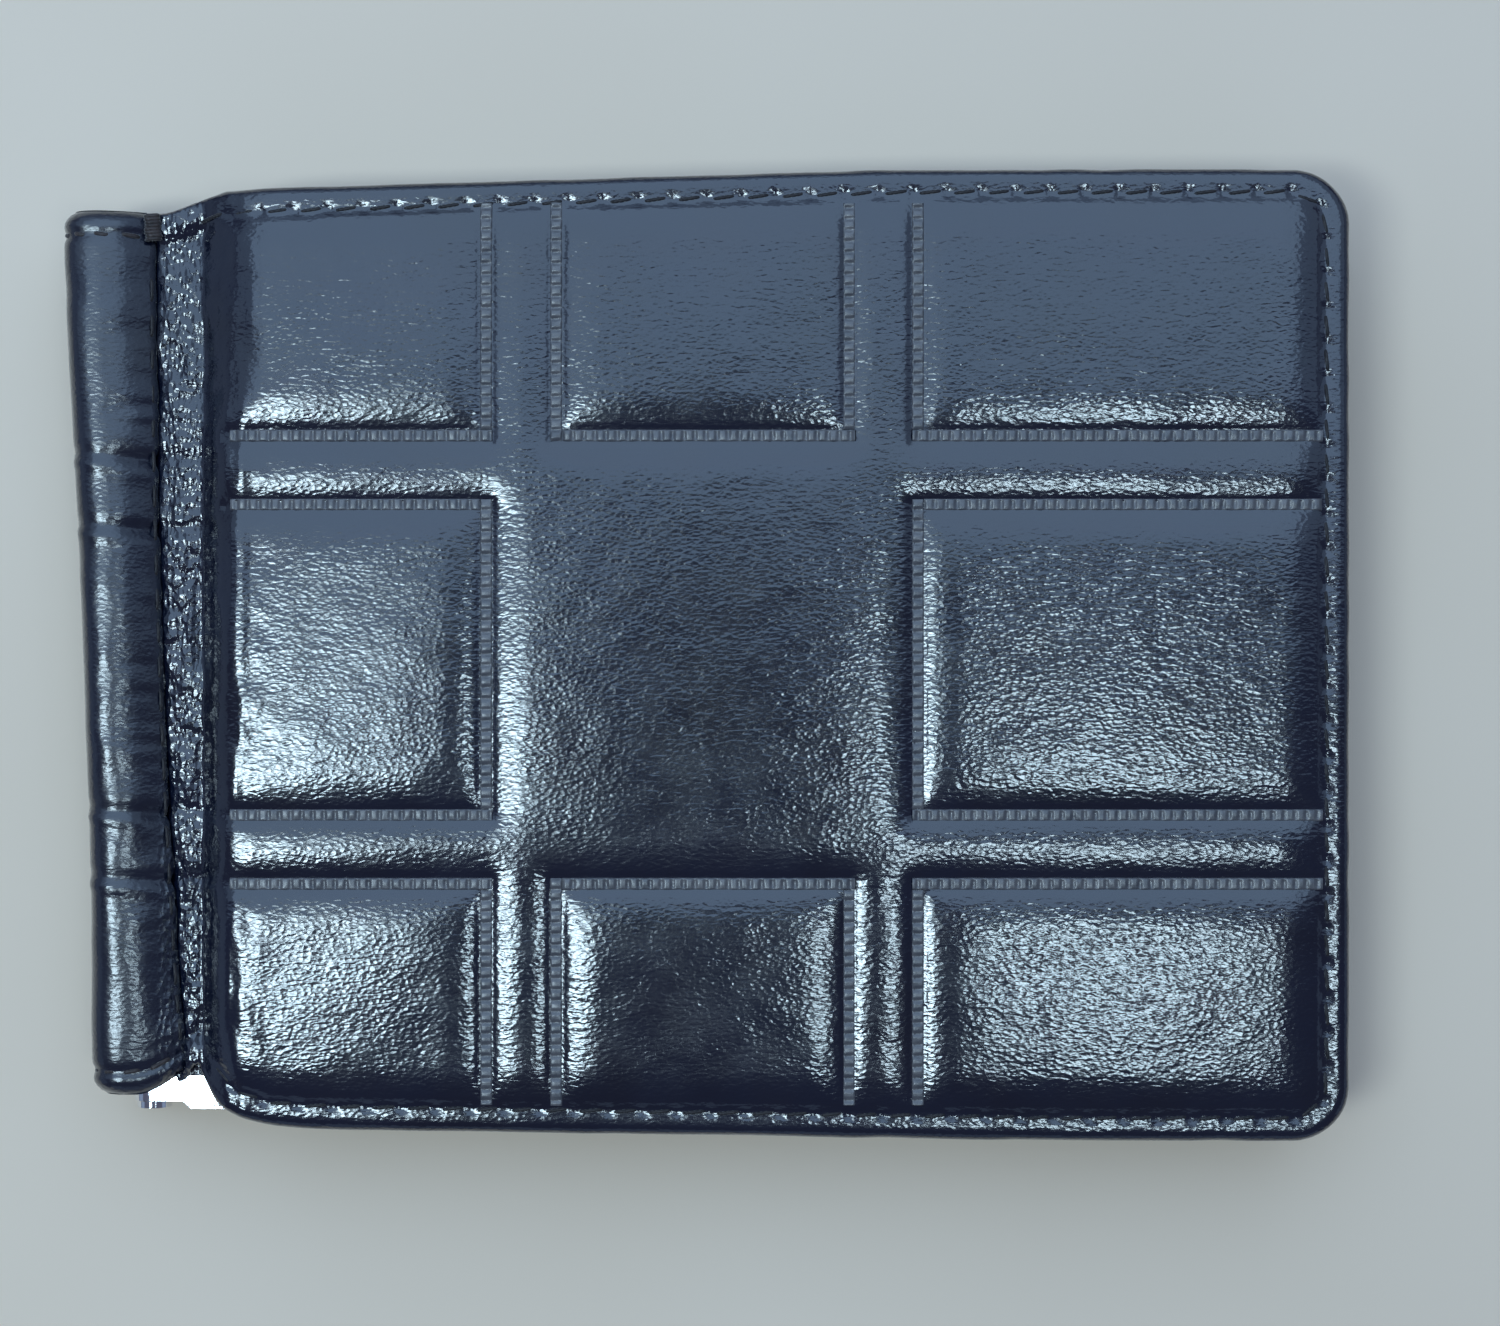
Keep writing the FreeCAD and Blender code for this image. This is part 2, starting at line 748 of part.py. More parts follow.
def clip_frame():
    """The spring clip: a flat steel U whose arm ends are rolled round the pivot rod."""
    body = new_body("clip_frame")
    shift = size.clip_shift
    outer = size.clip_half_width
    inner = clip_inner_half
    neck = outer - size.rod_head_thickness - size.side_gap
    bore = size.rod_radius + size.running_gap
    strip_low = fold_z[BACK] + bore
    bar_outer = fold_x + size.clip_reach
    bar_inner = bar_outer - size.bar_width
    neck_end = fold_x + size.neck_length
    half_outline = [
        (bar_inner, inner), (fold_x, inner), (fold_x, neck), (neck_end, neck),
        (neck_end + size.neck_shoulder, outer), (bar_outer, outer),
    ]
    upper = [(x, shift + y) for x, y in half_outline]
    lower = [(x, shift - y) for x, y in reversed(half_outline)]
    strip = new_sketch(body, "XY_Plane", strip_low)
    draw_polygon(strip, upper + lower)
    pad(body, strip, size.strip_thickness)
    round_edges(body, size.clip_corner_radius, upright(bar_outer))
    round_edges(body, size.clip_corner_radius - size.arm_width, upright(bar_inner))
    for low_y, high_y in (
        (shift + inner, shift + neck),
        (shift - neck, shift - inner),
    ):
        round_bar(body, low_y, high_y, bore + size.strip_thickness)
    hole = new_sketch(body, "XZ_Plane", outer - shift)
    draw_circle(hole, fold_x, fold_z[BACK], bore)
    pocket(body, hole, outer * 2)


# ---------------------------------------------------------------- assembly

for cover_side in (BACK, FRONT):
    cover(cover_side)
note_side_panels()
card_pockets()
spine_outer_leather()
spine_inner_leather()
spine_stiffener()
clip_base_channel()
clip_rivets()
clip_pivot_rod()
torsion_spring("upper_torsion_spring", 1)
torsion_spring("lower_torsion_spring", -1)
for cover_side in (BACK, FRONT):
    hinge_leathers(cover_side)
    hinge_threads(cover_side)
clip_frame()

doc.recompute()
for item in doc.Objects:
    if "Invalid" in item.State or "Error" in item.State:
        raise RuntimeError(f"{item.Label} failed: {item.State}")
for body in nodes:
    if body.Shape.isNull() or not body.Shape.isValid():
        raise RuntimeError(f"{body.Label} has no valid shape")

os.makedirs("parts", exist_ok=True)
for body in nodes:
    body.Shape.exportStep(os.path.join("parts", body.Label + ".step"))
    box = body.Shape.BoundBox
    print(f"{body.Label:24s} solids {len(body.Shape.Solids)} volume {body.Shape.Volume:9.2f}"
          f"  x {box.XMin:7.2f} {box.XMax:7.2f}  y {box.YMin:7.2f} {box.YMax:7.2f}"
          f"  z {box.ZMin:6.2f} {box.ZMax:6.2f}")
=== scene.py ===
import math

import bpy
import numpy as np
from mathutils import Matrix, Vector
from mathutils.kdtree import KDTree


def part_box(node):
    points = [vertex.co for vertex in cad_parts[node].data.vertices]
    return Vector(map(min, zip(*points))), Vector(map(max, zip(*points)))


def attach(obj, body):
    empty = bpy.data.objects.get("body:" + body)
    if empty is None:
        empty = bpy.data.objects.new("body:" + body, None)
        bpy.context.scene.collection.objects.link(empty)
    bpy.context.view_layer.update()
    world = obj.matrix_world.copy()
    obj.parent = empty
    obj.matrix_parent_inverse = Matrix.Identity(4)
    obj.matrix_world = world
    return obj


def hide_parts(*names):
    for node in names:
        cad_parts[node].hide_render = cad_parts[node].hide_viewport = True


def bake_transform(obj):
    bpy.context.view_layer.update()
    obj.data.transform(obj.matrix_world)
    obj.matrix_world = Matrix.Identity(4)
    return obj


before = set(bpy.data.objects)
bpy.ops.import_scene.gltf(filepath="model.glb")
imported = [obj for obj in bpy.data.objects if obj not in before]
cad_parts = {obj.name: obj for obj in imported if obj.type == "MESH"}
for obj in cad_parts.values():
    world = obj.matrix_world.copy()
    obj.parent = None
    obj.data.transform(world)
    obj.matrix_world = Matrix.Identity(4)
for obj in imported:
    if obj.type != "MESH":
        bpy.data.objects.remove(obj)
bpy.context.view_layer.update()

# Money clip wallet: soft leather, stitching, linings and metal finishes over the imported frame.
# Shapes are worked out in millimetres, in the frame's axes, and stored in metres.
MM = 0.001
FRONT = 1
BACK = -1
SIDE_NAME = {FRONT: "front", BACK: "back"}
PI = math.pi


def span(node):
    """Lowest and highest corner of a CAD node, in millimetres."""
    low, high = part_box(node)
    return np.array(low) / MM, np.array(high) / MM


# -------- places and sizes

cover_low, cover_high = span("front_outer_leather")
roll_low, roll_high = span("spine_outer_leather")

# cover
HEIGHT = cover_high[2]
RIGHT = cover_high[0]
COVER_LEFT = cover_low[0]
HALF_WIDTH = cover_high[1]
EDGE_HALF = HALF_WIDTH + 0.5
CORNER_RADIUS = 5.2
BEAD = 1.0  # radius of the rounded edge
WALL = HEIGHT - cover_low[2] - 1.2  # height of the edge
HINGE_WALL = 1.1
RIM_WIDTH = 2.75
RIM_DROP = 0.75  # from the cover's top to the foot of its sewn rim
STITCH_INSET = 2.2
STITCH_PITCH = 3.1

# pressed bands
BAND_X = (-20.5, -14.2, 12.2, 18.4)
BAND_Y = (-20.7, -14.5, 13.5, 19.7)
BAND_LEFT = -43.6
BAND_HALF = 0.6
BAND_DROP = 0.52

# soft hinge between cover and roll
SEAM_MIDDLE = -50.24
SHOULDER_FOOT = -46.5
SHOULDER_TOP = -42.2
RIBBON_DROP = 3.0
CREASES_Y = (17.9, 11.5, -14.2, -20.3)

# roll
ROLL_RADIUS = (roll_high[2] - roll_low[2]) / 3
ROLL_LIP = roll_high[0] - roll_low[0] - ROLL_RADIUS
ROLL_HIGH_Z = roll_high[2] - ROLL_RADIUS
ROLL_LOW_Z = roll_low[2] + ROLL_RADIUS
ROLL_HALF = roll_high[1]
ROLL_SKIN = 1.0
LIP_ANGLE = math.asin(ROLL_LIP / ROLL_RADIUS)


# -------- small helpers

def smoothstep(t):
    t = np.clip(t, 0.0, 1.0)
    return t * t * (3 - 2 * t)


def noise(x, y, seed):
    """Smooth random values from -1 to 1, one lattice cell per unit."""
    table = np.random.default_rng(seed).uniform(-1, 1, (256, 256))
    column = np.floor(x).astype(int)
    row = np.floor(y).astype(int)
    across = smoothstep(x - column)
    up = smoothstep(y - row)
    low, high = (
        table[line % 256, column % 256] * (1 - across)
        + table[line % 256, (column + 1) % 256] * across
        for line in (row, row + 1)
    )
    return low * (1 - up) + high * up


def ripples(x, y, height, length_x, length_y, seed):
    """Smooth random waves, by their height and their lengths along X and Y."""
    return height * noise(x / length_x, y / length_y, seed)


def bell(distance, width):
    """1 at no distance, falling off smoothly over the width."""
    return np.exp(-(distance / width) ** 2)


def interpolate(values, row, column):
    """Values of a grid at places between its rows and columns."""
    r = row.astype(int)
    c = column.astype(int)
    row_share = row - r
    column_share = column - c
    low = values[r, c] * (1 - column_share) + values[r, c + 1] * column_share
    high = values[r + 1, c] * (1 - column_share) + values[r + 1, c + 1] * column_share
    return low * (1 - row_share) + high * row_share


def grid_faces(rows, columns, closed=False, start=0):
    """Quads of points stored row by row; closed joins the last column to the first."""
    row = np.arange(rows - 1)[:, None]
    column = np.arange(columns if closed else columns - 1)[None, :]
    a = row * columns + column
    b = row * columns + (column + 1) % columns
    quads = np.stack([a, b, b + columns, a + columns], axis=-1).reshape(-1, 4)
    return quads + start


def border(rows, columns):
    """Indices of a grid's outer points, anticlockwise from the first one."""
    return np.concatenate([
        np.arange(columns), np.arange(1, rows) * columns + columns - 1,
        (rows - 1) * columns + np.arange(columns - 2, -1, -1),
        np.arange(rows - 2, 0, -1) * columns,
    ])


def add_object(name, data):
    item = bpy.data.objects.new(name, data)
    bpy.context.scene.collection.objects.link(item)
    return item


def make_piece(name, points, faces, material, flip=False):
    """A smooth mesh piece from points in millimetres; flip turns its faces over."""
    if flip:
        faces = faces[:, ::-1]
    if isinstance(faces, np.ndarray):
        faces = faces.tolist()
    mesh = bpy.data.meshes.new(name)
    mesh.from_pydata((points * MM).tolist(), [], faces)
    mesh.polygons.foreach_set("use_smooth", [True] * len(mesh.polygons))
    mesh.materials.append(material)
    return add_object(name, mesh)


def blend_over_hinge(piece):
    """A piece across the soft hinge has its placement baked into its points; it does not bend between
    spine and cover.
    """
    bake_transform(piece)


def face_side(points, side):
    """Front points as they are; back points mirrored through the wallet's middle."""
    points = np.array(points, float)
    if side == BACK:
        points[..., 2] = HEIGHT - points[..., 2]
    return points


# -------- materials

def set_inputs(node, values):
    """Sets a node's inputs by name, with underscores for spaces."""
    for name, value in values.items():
        node.inputs[name.replace("_", " ")].default_value = value


class Finish:
    """A node material under construction."""

    def __init__(self, name):
        self.material = bpy.data.materials.new(name)
        self.material.use_nodes = True
        self.tree = self.material.node_tree
        self.shader = self.tree.nodes["Principled BSDF"]
        self.place = self.add("TexCoord").outputs["Object"]

    def add(self, kind, **values):
        node = self.tree.nodes.new("ShaderNode" + kind)
        set_inputs(node, values)
        return node

    def link(self, source, target):
        self.tree.links.new(source, target)

    def base(self, **values):
        set_inputs(self.shader, values)

    def texture(self, kind, vector, **values):
        """A node read at the given places, or at the object's own coordinates."""
        node = self.add(kind, **values)
        self.link(vector or self.place, node.inputs["Vector"])
        return node

    def stretched(self, scale, rotation=(0, 0, 0)):
        return self.texture("Mapping", None, Scale=scale, Rotation=rotation).outputs["Vector"]

    def noise(self, scale, detail=3.0, vector=None):
        node = self.texture("TexNoise", vector, Scale=scale, Detail=detail, Roughness=0.55)
        return node.outputs["Fac"]

    def cells(self, scale, feature="F1", vector=None):
        node = self.texture("TexVoronoi", vector, Scale=scale)
        node.feature = feature
        return node.outputs["Distance"]

    def wave(self, scale, distortion, direction, vector=None):
        node = self.texture("TexWave", vector, Scale=scale, Distortion=distortion)
        node.bands_direction = direction
        return node.outputs["Fac"]

    def ramp(self, source, stops):
        node = self.add("ValToRGB")
        elements = node.color_ramp.elements
        while len(elements) < len(stops):
            elements.new(0.5)
        for element, (position, color) in zip(elements, stops):
            element.position = position
            element.color = (*color, 1)
        self.link(source, node.inputs["Fac"])
        return node.outputs["Color"]

    def two_tone(self, scale, detail, dark, light):
        """A colour that drifts between two tones."""
        self.color(self.ramp(self.noise(scale, detail), [(0.3, dark), (0.7, light)]))

    def between(self, source, low, high, from_low=0.3, from_high=0.7):
        node = self.add("MapRange", From_Min=from_low, From_Max=from_high, To_Min=low, To_Max=high)
        self.link(source, node.inputs["Value"])
        return node.outputs["Result"]

    def color(self, source):
        self.link(source, self.shader.inputs["Base Color"])

    def roughness(self, source):
        self.link(source, self.shader.inputs["Roughness"])

    def strip_mask(self, low, high, soft):
        """1 between two places along X, 0 outside, easing over a soft border."""
        along = self.add("SeparateXYZ")
        self.link(self.place, along.inputs["Vector"])
        product = self.add("Math")
        product.operation = "MULTIPLY"
        rising = self.between(along.outputs["X"], 0.0, 1.0, low, low + soft)
        falling = self.between(along.outputs["X"], 1.0, 0.0, high - soft, high)
        self.link(rising, product.inputs[0])
        self.link(falling, product.inputs[1])
        return product.outputs["Value"]

    def bump(self, layers, targets=("Normal",)):
        """Stacks bumps, each a height source, its strength or its mask, and its depth in metres."""
        normal = None
        for source, strength, distance in layers:
            node = self.add("Bump", Distance=distance)
            if isinstance(strength, float):
                set_inputs(node, {"Strength": strength})
            else:
                self.link(strength, node.inputs["Strength"])
            self.link(source, node.inputs["Height"])
            if normal is not None:
                self.link(normal, node.inputs["Normal"])
            normal = node.outputs["Normal"]
        for target in targets:
            self.link(normal, self.shader.inputs[target])


def glazed_leather(name, gloss):
    """Blue-black leather under a clear coat, with a coarse grain on the ribbon of the soft hinge."""
    finish = Finish(name)
    tone = finish.noise(90, 4)
    finish.color(finish.ramp(tone, [
        (0.30, (0.0026, 0.0038, 0.0110)), (0.55, (0.0034, 0.0058, 0.0165)),
        (0.75, (0.0056, 0.0064, 0.0150)),
    ]))
    finish.base(IOR=1.5, Coat_Weight=1.0, Coat_Roughness=gloss, Coat_IOR=1.5,
                Specular_IOR_Level=0.5)
    finish.roughness(finish.between(finish.noise(260, 3), gloss + 0.05, gloss + 0.13))
    flow = finish.stretched((650, 1700, 1200), (0, 0, 0.15))
    grain = finish.stretched((1900, 2900, 2500), (0, 0, 0.15))
    wrinkles = finish.cells(1.0, "DISTANCE_TO_EDGE", flow)
    ribbon = finish.strip_mask((SEAM_MIDDLE - 0.36) * MM, (SHOULDER_FOOT + 0.2) * MM, 0.0006)
    finish.bump([
        (finish.noise(150, 2), 0.25, 0.00010),
        (finish.noise(0.8, 3, flow), 0.8, 0.000023),
        (finish.between(wrinkles, 0.0, 1.0, 0.0, 0.16), 0.9, 0.000006),
        (finish.cells(1.0, vector=grain), 0.8, 0.000022),
        (finish.noise(1.6, 2, grain), 0.5, 0.000014),
        (finish.cells(1.0, vector=finish.stretched((2100, 1250, 1700))), ribbon, 0.00013),
    ], ("Normal", "Coat Normal"))
    return finish.material


def band_leather():
    finish = Finish("pressed_band_leather")
    finish.color(finish.ramp(finish.noise(700, 3), [
        (0.35, (0.046, 0.047, 0.056)), (0.65, (0.088, 0.084, 0.090)),
    ]))
    finish.base(Coat_Weight=1.0, Coat_Roughness=0.30, IOR=1.5)
    finish.roughness(finish.between(finish.noise(1200, 2), 0.42, 0.58))
    finish.bump([
        (finish.cells(2600), 0.5, 0.00005),
        (finish.noise(4200, 2), 0.3, 0.00003),
    ])
    return finish.material


def inner_leather():
    finish = Finish("inner_leather")
    finish.two_tone(120, 4, (0.010, 0.010, 0.014), (0.020, 0.020, 0.027))
    finish.base(IOR=1.5, Coat_Weight=0.15, Coat_Roughness=0.3, Specular_IOR_Level=0.45)
    finish.roughness(finish.between(finish.noise(300, 3), 0.38, 0.50))
    finish.bump([
        (finish.noise(220, 3), 0.2, 0.00015),
        (finish.cells(2100), 0.6, 0.00007),
        (finish.noise(5000, 2), 0.25, 0.00003),
    ])
    return finish.material


def lining_fabric():
    finish = Finish("lining_fabric")
    warp = finish.wave(900, 0.4, "X")
    weft = finish.wave(900, 0.4, "Y")
    finish.two_tone(400, 3, (0.016, 0.016, 0.022), (0.034, 0.033, 0.042))
    finish.base(Roughness=0.72, Sheen_Weight=0.35, Sheen_Roughness=0.45)
    finish.bump([
        (warp, 0.45, 0.00006),
        (weft, 0.45, 0.00006),
        (finish.noise(3000, 2), 0.2, 0.00003),
    ])
    return finish.material


def sewing_thread(name, dark, light):
    finish = Finish(name)
    finish.two_tone(1500, 2, dark, light)
    finish.base(Sheen_Weight=0.3, Sheen_Roughness=0.4, Specular_IOR_Level=0.4)
    finish.roughness(finish.between(finish.noise(2500, 2), 0.45, 0.65))
    twist = finish.stretched((1, 1, 1), (0.3, 0.4, 0.8))
    finish.bump([(finish.wave(1400, 0.6, "DIAGONAL", twist), 0.6, 0.00005)])
    return finish.material


def metal(name, color, roughness, grain, depth):
    finish = Finish(name)
    finish.base(Metallic=1.0, Base_Color=(*color, 1))
    streaks = finish.stretched((1, 12, 12))
    wear = finish.noise(260, 4, streaks)
    finish.roughness(finish.between(wear, roughness * 0.7, roughness * 1.5))
    finish.bump([
        (finish.noise(grain, 3, streaks), 0.15, depth),
        (finish.noise(60, 2), 0.1, depth * 3),
    ])
    return finish.material


def fibre_board():
    finish = Finish("fibre_board")
    finish.two_tone(900, 4, (0.20, 0.16, 0.11), (0.36, 0.30, 0.22))
    finish.base(Roughness=0.85)
    finish.bump([(finish.noise(1800, 3, finish.stretched((1, 4, 1))), 0.5, 0.00008)])
    return finish.material


def pale_floor():
    finish = Finish("pale_floor")
    finish.two_tone(14, 2, (0.76, 0.62, 0.48), (0.80, 0.66, 0.52))
    finish.base(Roughness=0.65, Specular_IOR_Level=0.3)
    finish.bump([(finish.noise(900, 2), 0.1, 0.00003)])
    return finish.material


LEATHER = glazed_leather("glazed_leather", 0.09)
ROLL_LEATHER = glazed_leather("rolled_leather", 0.19)
BAND = band_leather()
INNER = inner_leather()
FABRIC = lining_fabric()
THREAD = sewing_thread("sewing_thread", (0.020, 0.015, 0.015), (0.050, 0.036, 0.034))
# The same sewing thread darkened: painted shade for the perimeter and seam stitches, which sit in the
# notches and in the groove under the roll's lip.
SHADED_THREAD = sewing_thread("shaded_thread", (0.007, 0.006, 0.008), (0.020, 0.016, 0.017))
CHROME = metal("polished_chrome", (0.86, 0.86, 0.88), 0.07, 900, 0.000004)
PLATED = metal("nickel_plate", (0.62, 0.61, 0.58), 0.24, 1500, 0.00001)
WIRE = metal("spring_wire", (0.50, 0.50, 0.51), 0.30, 2500, 0.00001)
BOARD = fibre_board()


# -------- outline of a cover

TOP_TAPER = 0.030
TOP_TAPER_START = 17.0
STEP = 1.25
STEP_RIGHT = -45.4
STEP_LENGTH = 4.2
BOTTOM_TAPER = 0.0155
BOTTOM_TAPER_START = 32.0
ARCH_DEPTH = 4.9
ARCH_LEFT = -46.6
ARCH_LENGTH = 2.4
TAIL = 1.7
TAIL_RIGHT = -48.0
TAIL_LENGTH = 2.6
SEAM_LEAN = 0.036
SEAM_BOW = 0.00052
SEAM_TUCK = 0.9


def top_edge(x):
    """The cover's edge towards +Y: narrower towards the spine, with a step down to the soft hinge."""
    step = STEP * smoothstep((STEP_RIGHT - x) / STEP_LENGTH)
    return EDGE_HALF - 0.12 - TOP_TAPER * np.maximum(TOP_TAPER_START - x, 0) - step


def bottom_edge(x):
    """The cover's edge towards -Y, with the arch that leaves the clip's arm free."""
    plain = EDGE_HALF + 0.05 - BOTTOM_TAPER * np.maximum(BOTTOM_TAPER_START - x, 0)
    arch = ARCH_DEPTH * np.exp(-np.maximum(x - ARCH_LEFT, 0) / ARCH_LENGTH)
    tail = TAIL * smoothstep((TAIL_RIGHT - x) / TAIL_LENGTH)
    return plain - arch + tail


def seam_x(y):
    """Where the soft hinge disappears under the roll's lip."""
    return SEAM_MIDDLE - SEAM_LEAN * y + SEAM_BOW * y * y


def shoulder_share(x, y):
    """0 on the soft hinge, 1 on the cover: steep at its foot, easing out, wider near the top."""
    top = SHOULDER_TOP + 3.2 * smoothstep((y - 18.0) / 10.0)
    t = np.clip((x - SHOULDER_FOOT) / (top - SHOULDER_FOOT), 0, 1)
    return 1 - (1 - t ** 1.1) ** 2.6


FINE = 0.335
GRID_LEFT = -50.9
GRID_RIGHT = RIGHT - BEAD
GRID_HALF = EDGE_HALF - BEAD
PLAIN_HALF = 30.0
columns_u = np.linspace(GRID_LEFT, GRID_RIGHT, int((GRID_RIGHT - GRID_LEFT) / FINE) + 1)
rows_v = np.linspace(-GRID_HALF, GRID_HALF, int(2 * GRID_HALF / FINE) + 1)
grid_u, grid_v = np.meshgrid(columns_u, rows_v)


def round_corner(a, b, radius):
    """Moves points of the corner square onto the round corner."""
    s = np.clip(a / radius, 0, 1)
    t = np.clip(b / radius, 0, 1)
    return (a + radius * s * (np.sqrt(1 - t * t / 2) - 1),
            b + radius * t * (np.sqrt(1 - s * s / 2) - 1))


def lay_out(u, v):
    """Places plain grid coordinates on the cover: round corners, tapering width, leaning seam."""
    radius = CORNER_RADIUS - BEAD
    a, b = round_corner(u - (GRID_RIGHT - radius), np.abs(v) - (GRID_HALF - radius), radius)
    x = a + GRID_RIGHT - radius
    across = b + GRID_HALF - radius
    lean = np.clip((SHOULDER_FOOT - x) / (SHOULDER_FOOT - GRID_LEFT), 0, 1)
    edge = np.where(v > 0, top_edge(x), bottom_edge(x)) - BEAD
    outer = (across - PLAIN_HALF) / (GRID_HALF - PLAIN_HALF)
    y = np.where(across > PLAIN_HALF, PLAIN_HALF + outer * (edge - PLAIN_HALF), across)
    y = y * np.sign(v)
    return x + lean * (seam_x(y) - SEAM_TUCK - GRID_LEFT), y


grid_x, grid_y = lay_out(grid_u, grid_v)


# the border without its left side, which lies under the roll
loop = border(*grid_x.shape)[:2 - len(grid_x)]
loop_xy = np.column_stack([grid_x.ravel()[loop], grid_y.ravel()[loop]])


def outward(path):
    """Unit normals on the right hand of a path, smoothed a little."""
    kernel = np.ones(5) / 5
    run = np.gradient(path, axis=0)
    padded = np.pad(run, ((2, 2), (0, 0)), mode="edge")
    run = np.stack([np.convolve(padded[:, i], kernel, "valid") for i in (0, 1)], axis=1)
    run /= np.linalg.norm(run, axis=1, keepdims=True)
    return np.stack([run[:, 1], -run[:, 0]], axis=1)


loop_out = outward(loop_xy)


def inset_path(distance):
    """The outline drawn in by a distance, from the lower hinge end round to the upper one."""
    return loop_xy + loop_out * (BEAD - distance)


def nearest_distance(points, targets):
    """Distance from each point to the nearest target, in plan."""
    blocks = np.array_split(points, len(points) // 4000 + 1)
    squares = [((block[:, None] - targets) ** 2).sum(axis=2).min(axis=1) for block in blocks]
    return np.sqrt(np.concatenate(squares))


INSET_LIMIT = 9.0
NEAR_EDGE_Y = 34.0


def edge_distance():
    """Each grid point's distance in from the cover's outline, up to a limit."""
    points = np.stack([grid_x.ravel(), grid_y.ravel()], axis=1)
    near = (np.abs(points[:, 1]) > NEAR_EDGE_Y) | (points[:, 0] > RIGHT - INSET_LIMIT)
    distance = np.full(len(points), INSET_LIMIT)
    distance[near] = nearest_distance(points[near], loop_xy[::2]) + BEAD
    return np.minimum(distance, INSET_LIMIT).reshape(grid_x.shape)


inset = edge_distance()


def resample(path, pitch, start):
    """Points along a path at an even pitch, and the unit direction at each."""
    steps = np.linalg.norm(np.diff(path, axis=0), axis=1)
    length = np.concatenate([[0], np.cumsum(steps)])
    count = max(round((length[-1] - start) / pitch), 1)
    places = np.linspace(start, length[-1], count + 1)
    result = np.stack([np.interp(places, length, path[:, i]) for i in range(path.shape[1])], axis=1)
    direction = np.gradient(result, axis=0)
    return result, direction / np.linalg.norm(direction, axis=1, keepdims=True)


# -------- pressed bands

def band_lines():
    """Centre lines of the bands: each tile's inner sides, given from rim to rim."""
    x1, x2, x3, x4 = BAND_X
    y1, y2, y3, y4 = BAND_Y
    left = BAND_LEFT
    right = RIGHT - 2.6
    half = HALF_WIDTH - 2.8
    return [
        [(left, y1), (x1, y1), (x1, -half)],
        [(left, y4), (x1, y4), (x1, half)],
        [(right, y1), (x4, y1), (x4, -half)],
        [(right, y4), (x4, y4), (x4, half)],
        [(x2, -half), (x2, y1), (x3, y1), (x3, -half)],
        [(x2, half), (x2, y4), (x3, y4), (x3, half)],
        [(left, y2), (x1, y2), (x1, y3), (left, y3)],
        [(right, y2), (x4, y2), (x4, y3), (right, y3)],
    ]


BAND_LINES = band_lines()


def band_mask(half):
    """Grid points that lie on a band."""
    mask = np.zeros(grid_x.shape, bool)
    for line in BAND_LINES:
        for (xa, ya), (xb, yb) in zip(line[:-1], line[1:]):
            inside_x = (grid_x > min(xa, xb) - half) & (grid_x < max(xa, xb) + half)
            inside_y = (grid_y > min(ya, yb) - half) & (grid_y < max(ya, yb) + half)
            mask |= inside_x & inside_y
    return mask


# -------- swelling of the padding

COARSE = 4
SIM_SCALE = 10.0
SIM_STEPS = 24
CLOTH = {
    "vertex_group_mass": "pins", "quality": 6, "mass": 0.4, "tension_stiffness": 20,
    "compression_stiffness": 20, "shear_stiffness": 8, "bending_stiffness": 2,
    "use_pressure": True, "uniform_pressure_force": 3.0,
}
CROWN = 0.26  # how far the padding swells
REACH = 1.15  # how far from a line the leather is drawn down
ROUND_OFF = 3.7


def swell(fixed):
    """Cloth simulation: pressure lifts the leather between pinned lines, by 0 to about 1."""
    u = grid_x[::COARSE, ::COARSE] * MM * SIM_SCALE
    v = grid_y[::COARSE, ::COARSE] * MM * SIM_SCALE
    points = np.stack([u.ravel(), v.ravel(), np.zeros(u.size)], axis=1)
    mesh = bpy.data.meshes.new("swelling")
    mesh.from_pydata(points.tolist(), [], grid_faces(*u.shape).tolist())
    skin = add_object("swelling", mesh)
    pins = skin.vertex_groups.new(name="pins")
    pins.add(np.flatnonzero(fixed[::COARSE, ::COARSE]).tolist(), 1.0, "REPLACE")
    cloth = skin.modifiers.new("swelling", "CLOTH")
    for setting, value in CLOTH.items():
        setattr(cloth.settings, setting, value)
    cloth.settings.effector_weights.gravity = 0
    cloth.collision_settings.use_collision = False
    cloth.point_cache.frame_start = 1
    cloth.point_cache.frame_end = SIM_STEPS
    scene = bpy.context.scene
    for step in range(1, SIM_STEPS + 1):
        scene.frame_set(step)
    result = skin.evaluated_get(bpy.context.evaluated_depsgraph_get()).to_mesh()
    places = np.empty(len(result.vertices) * 3)
    result.vertices.foreach_get("co", places)
    lift = np.abs(places.reshape(-1, 3)[:, 2]).reshape(u.shape)
    bpy.data.objects.remove(skin)
    scene.frame_set(1)
    return lift / max(float(np.percentile(lift, 99.0)), 1e-9)


def spread(coarse):
    """Coarse values brought to the fine grid."""
    row, column = (np.minimum(np.arange(fine) / COARSE, rough - 1.001)
                   for fine, rough in zip(grid_x.shape, coarse.shape))
    return interpolate(coarse, row[:, None], column[None, :])


def neighbours(values):
    """Sum of each value's four neighbours, with the border repeated."""
    padded = np.pad(values, 1, mode="edge")
    return padded[:-2, 1:-1] + padded[2:, 1:-1] + padded[1:-1, :-2] + padded[1:-1, 2:]


def blur(values, passes):
    for _ in range(passes):
        values = neighbours(values) / 4
    return values


def nearness(fixed):
    """1 where the skin is pressed down, 0 over the padding: a steep foot, then a round shoulder."""
    close = np.where(fixed, 1.0, 0.0)
    pull = (FINE / REACH) ** 2
    for _ in range(200):
        close = np.where(fixed, 1.0, neighbours(close) / (4 + pull))
    round_off = np.clip(1 + REACH * np.log(np.maximum(close, 1e-6)) / ROUND_OFF, 0, 1)
    return 0.3 * close ** 3 + 0.7 * round_off ** 2


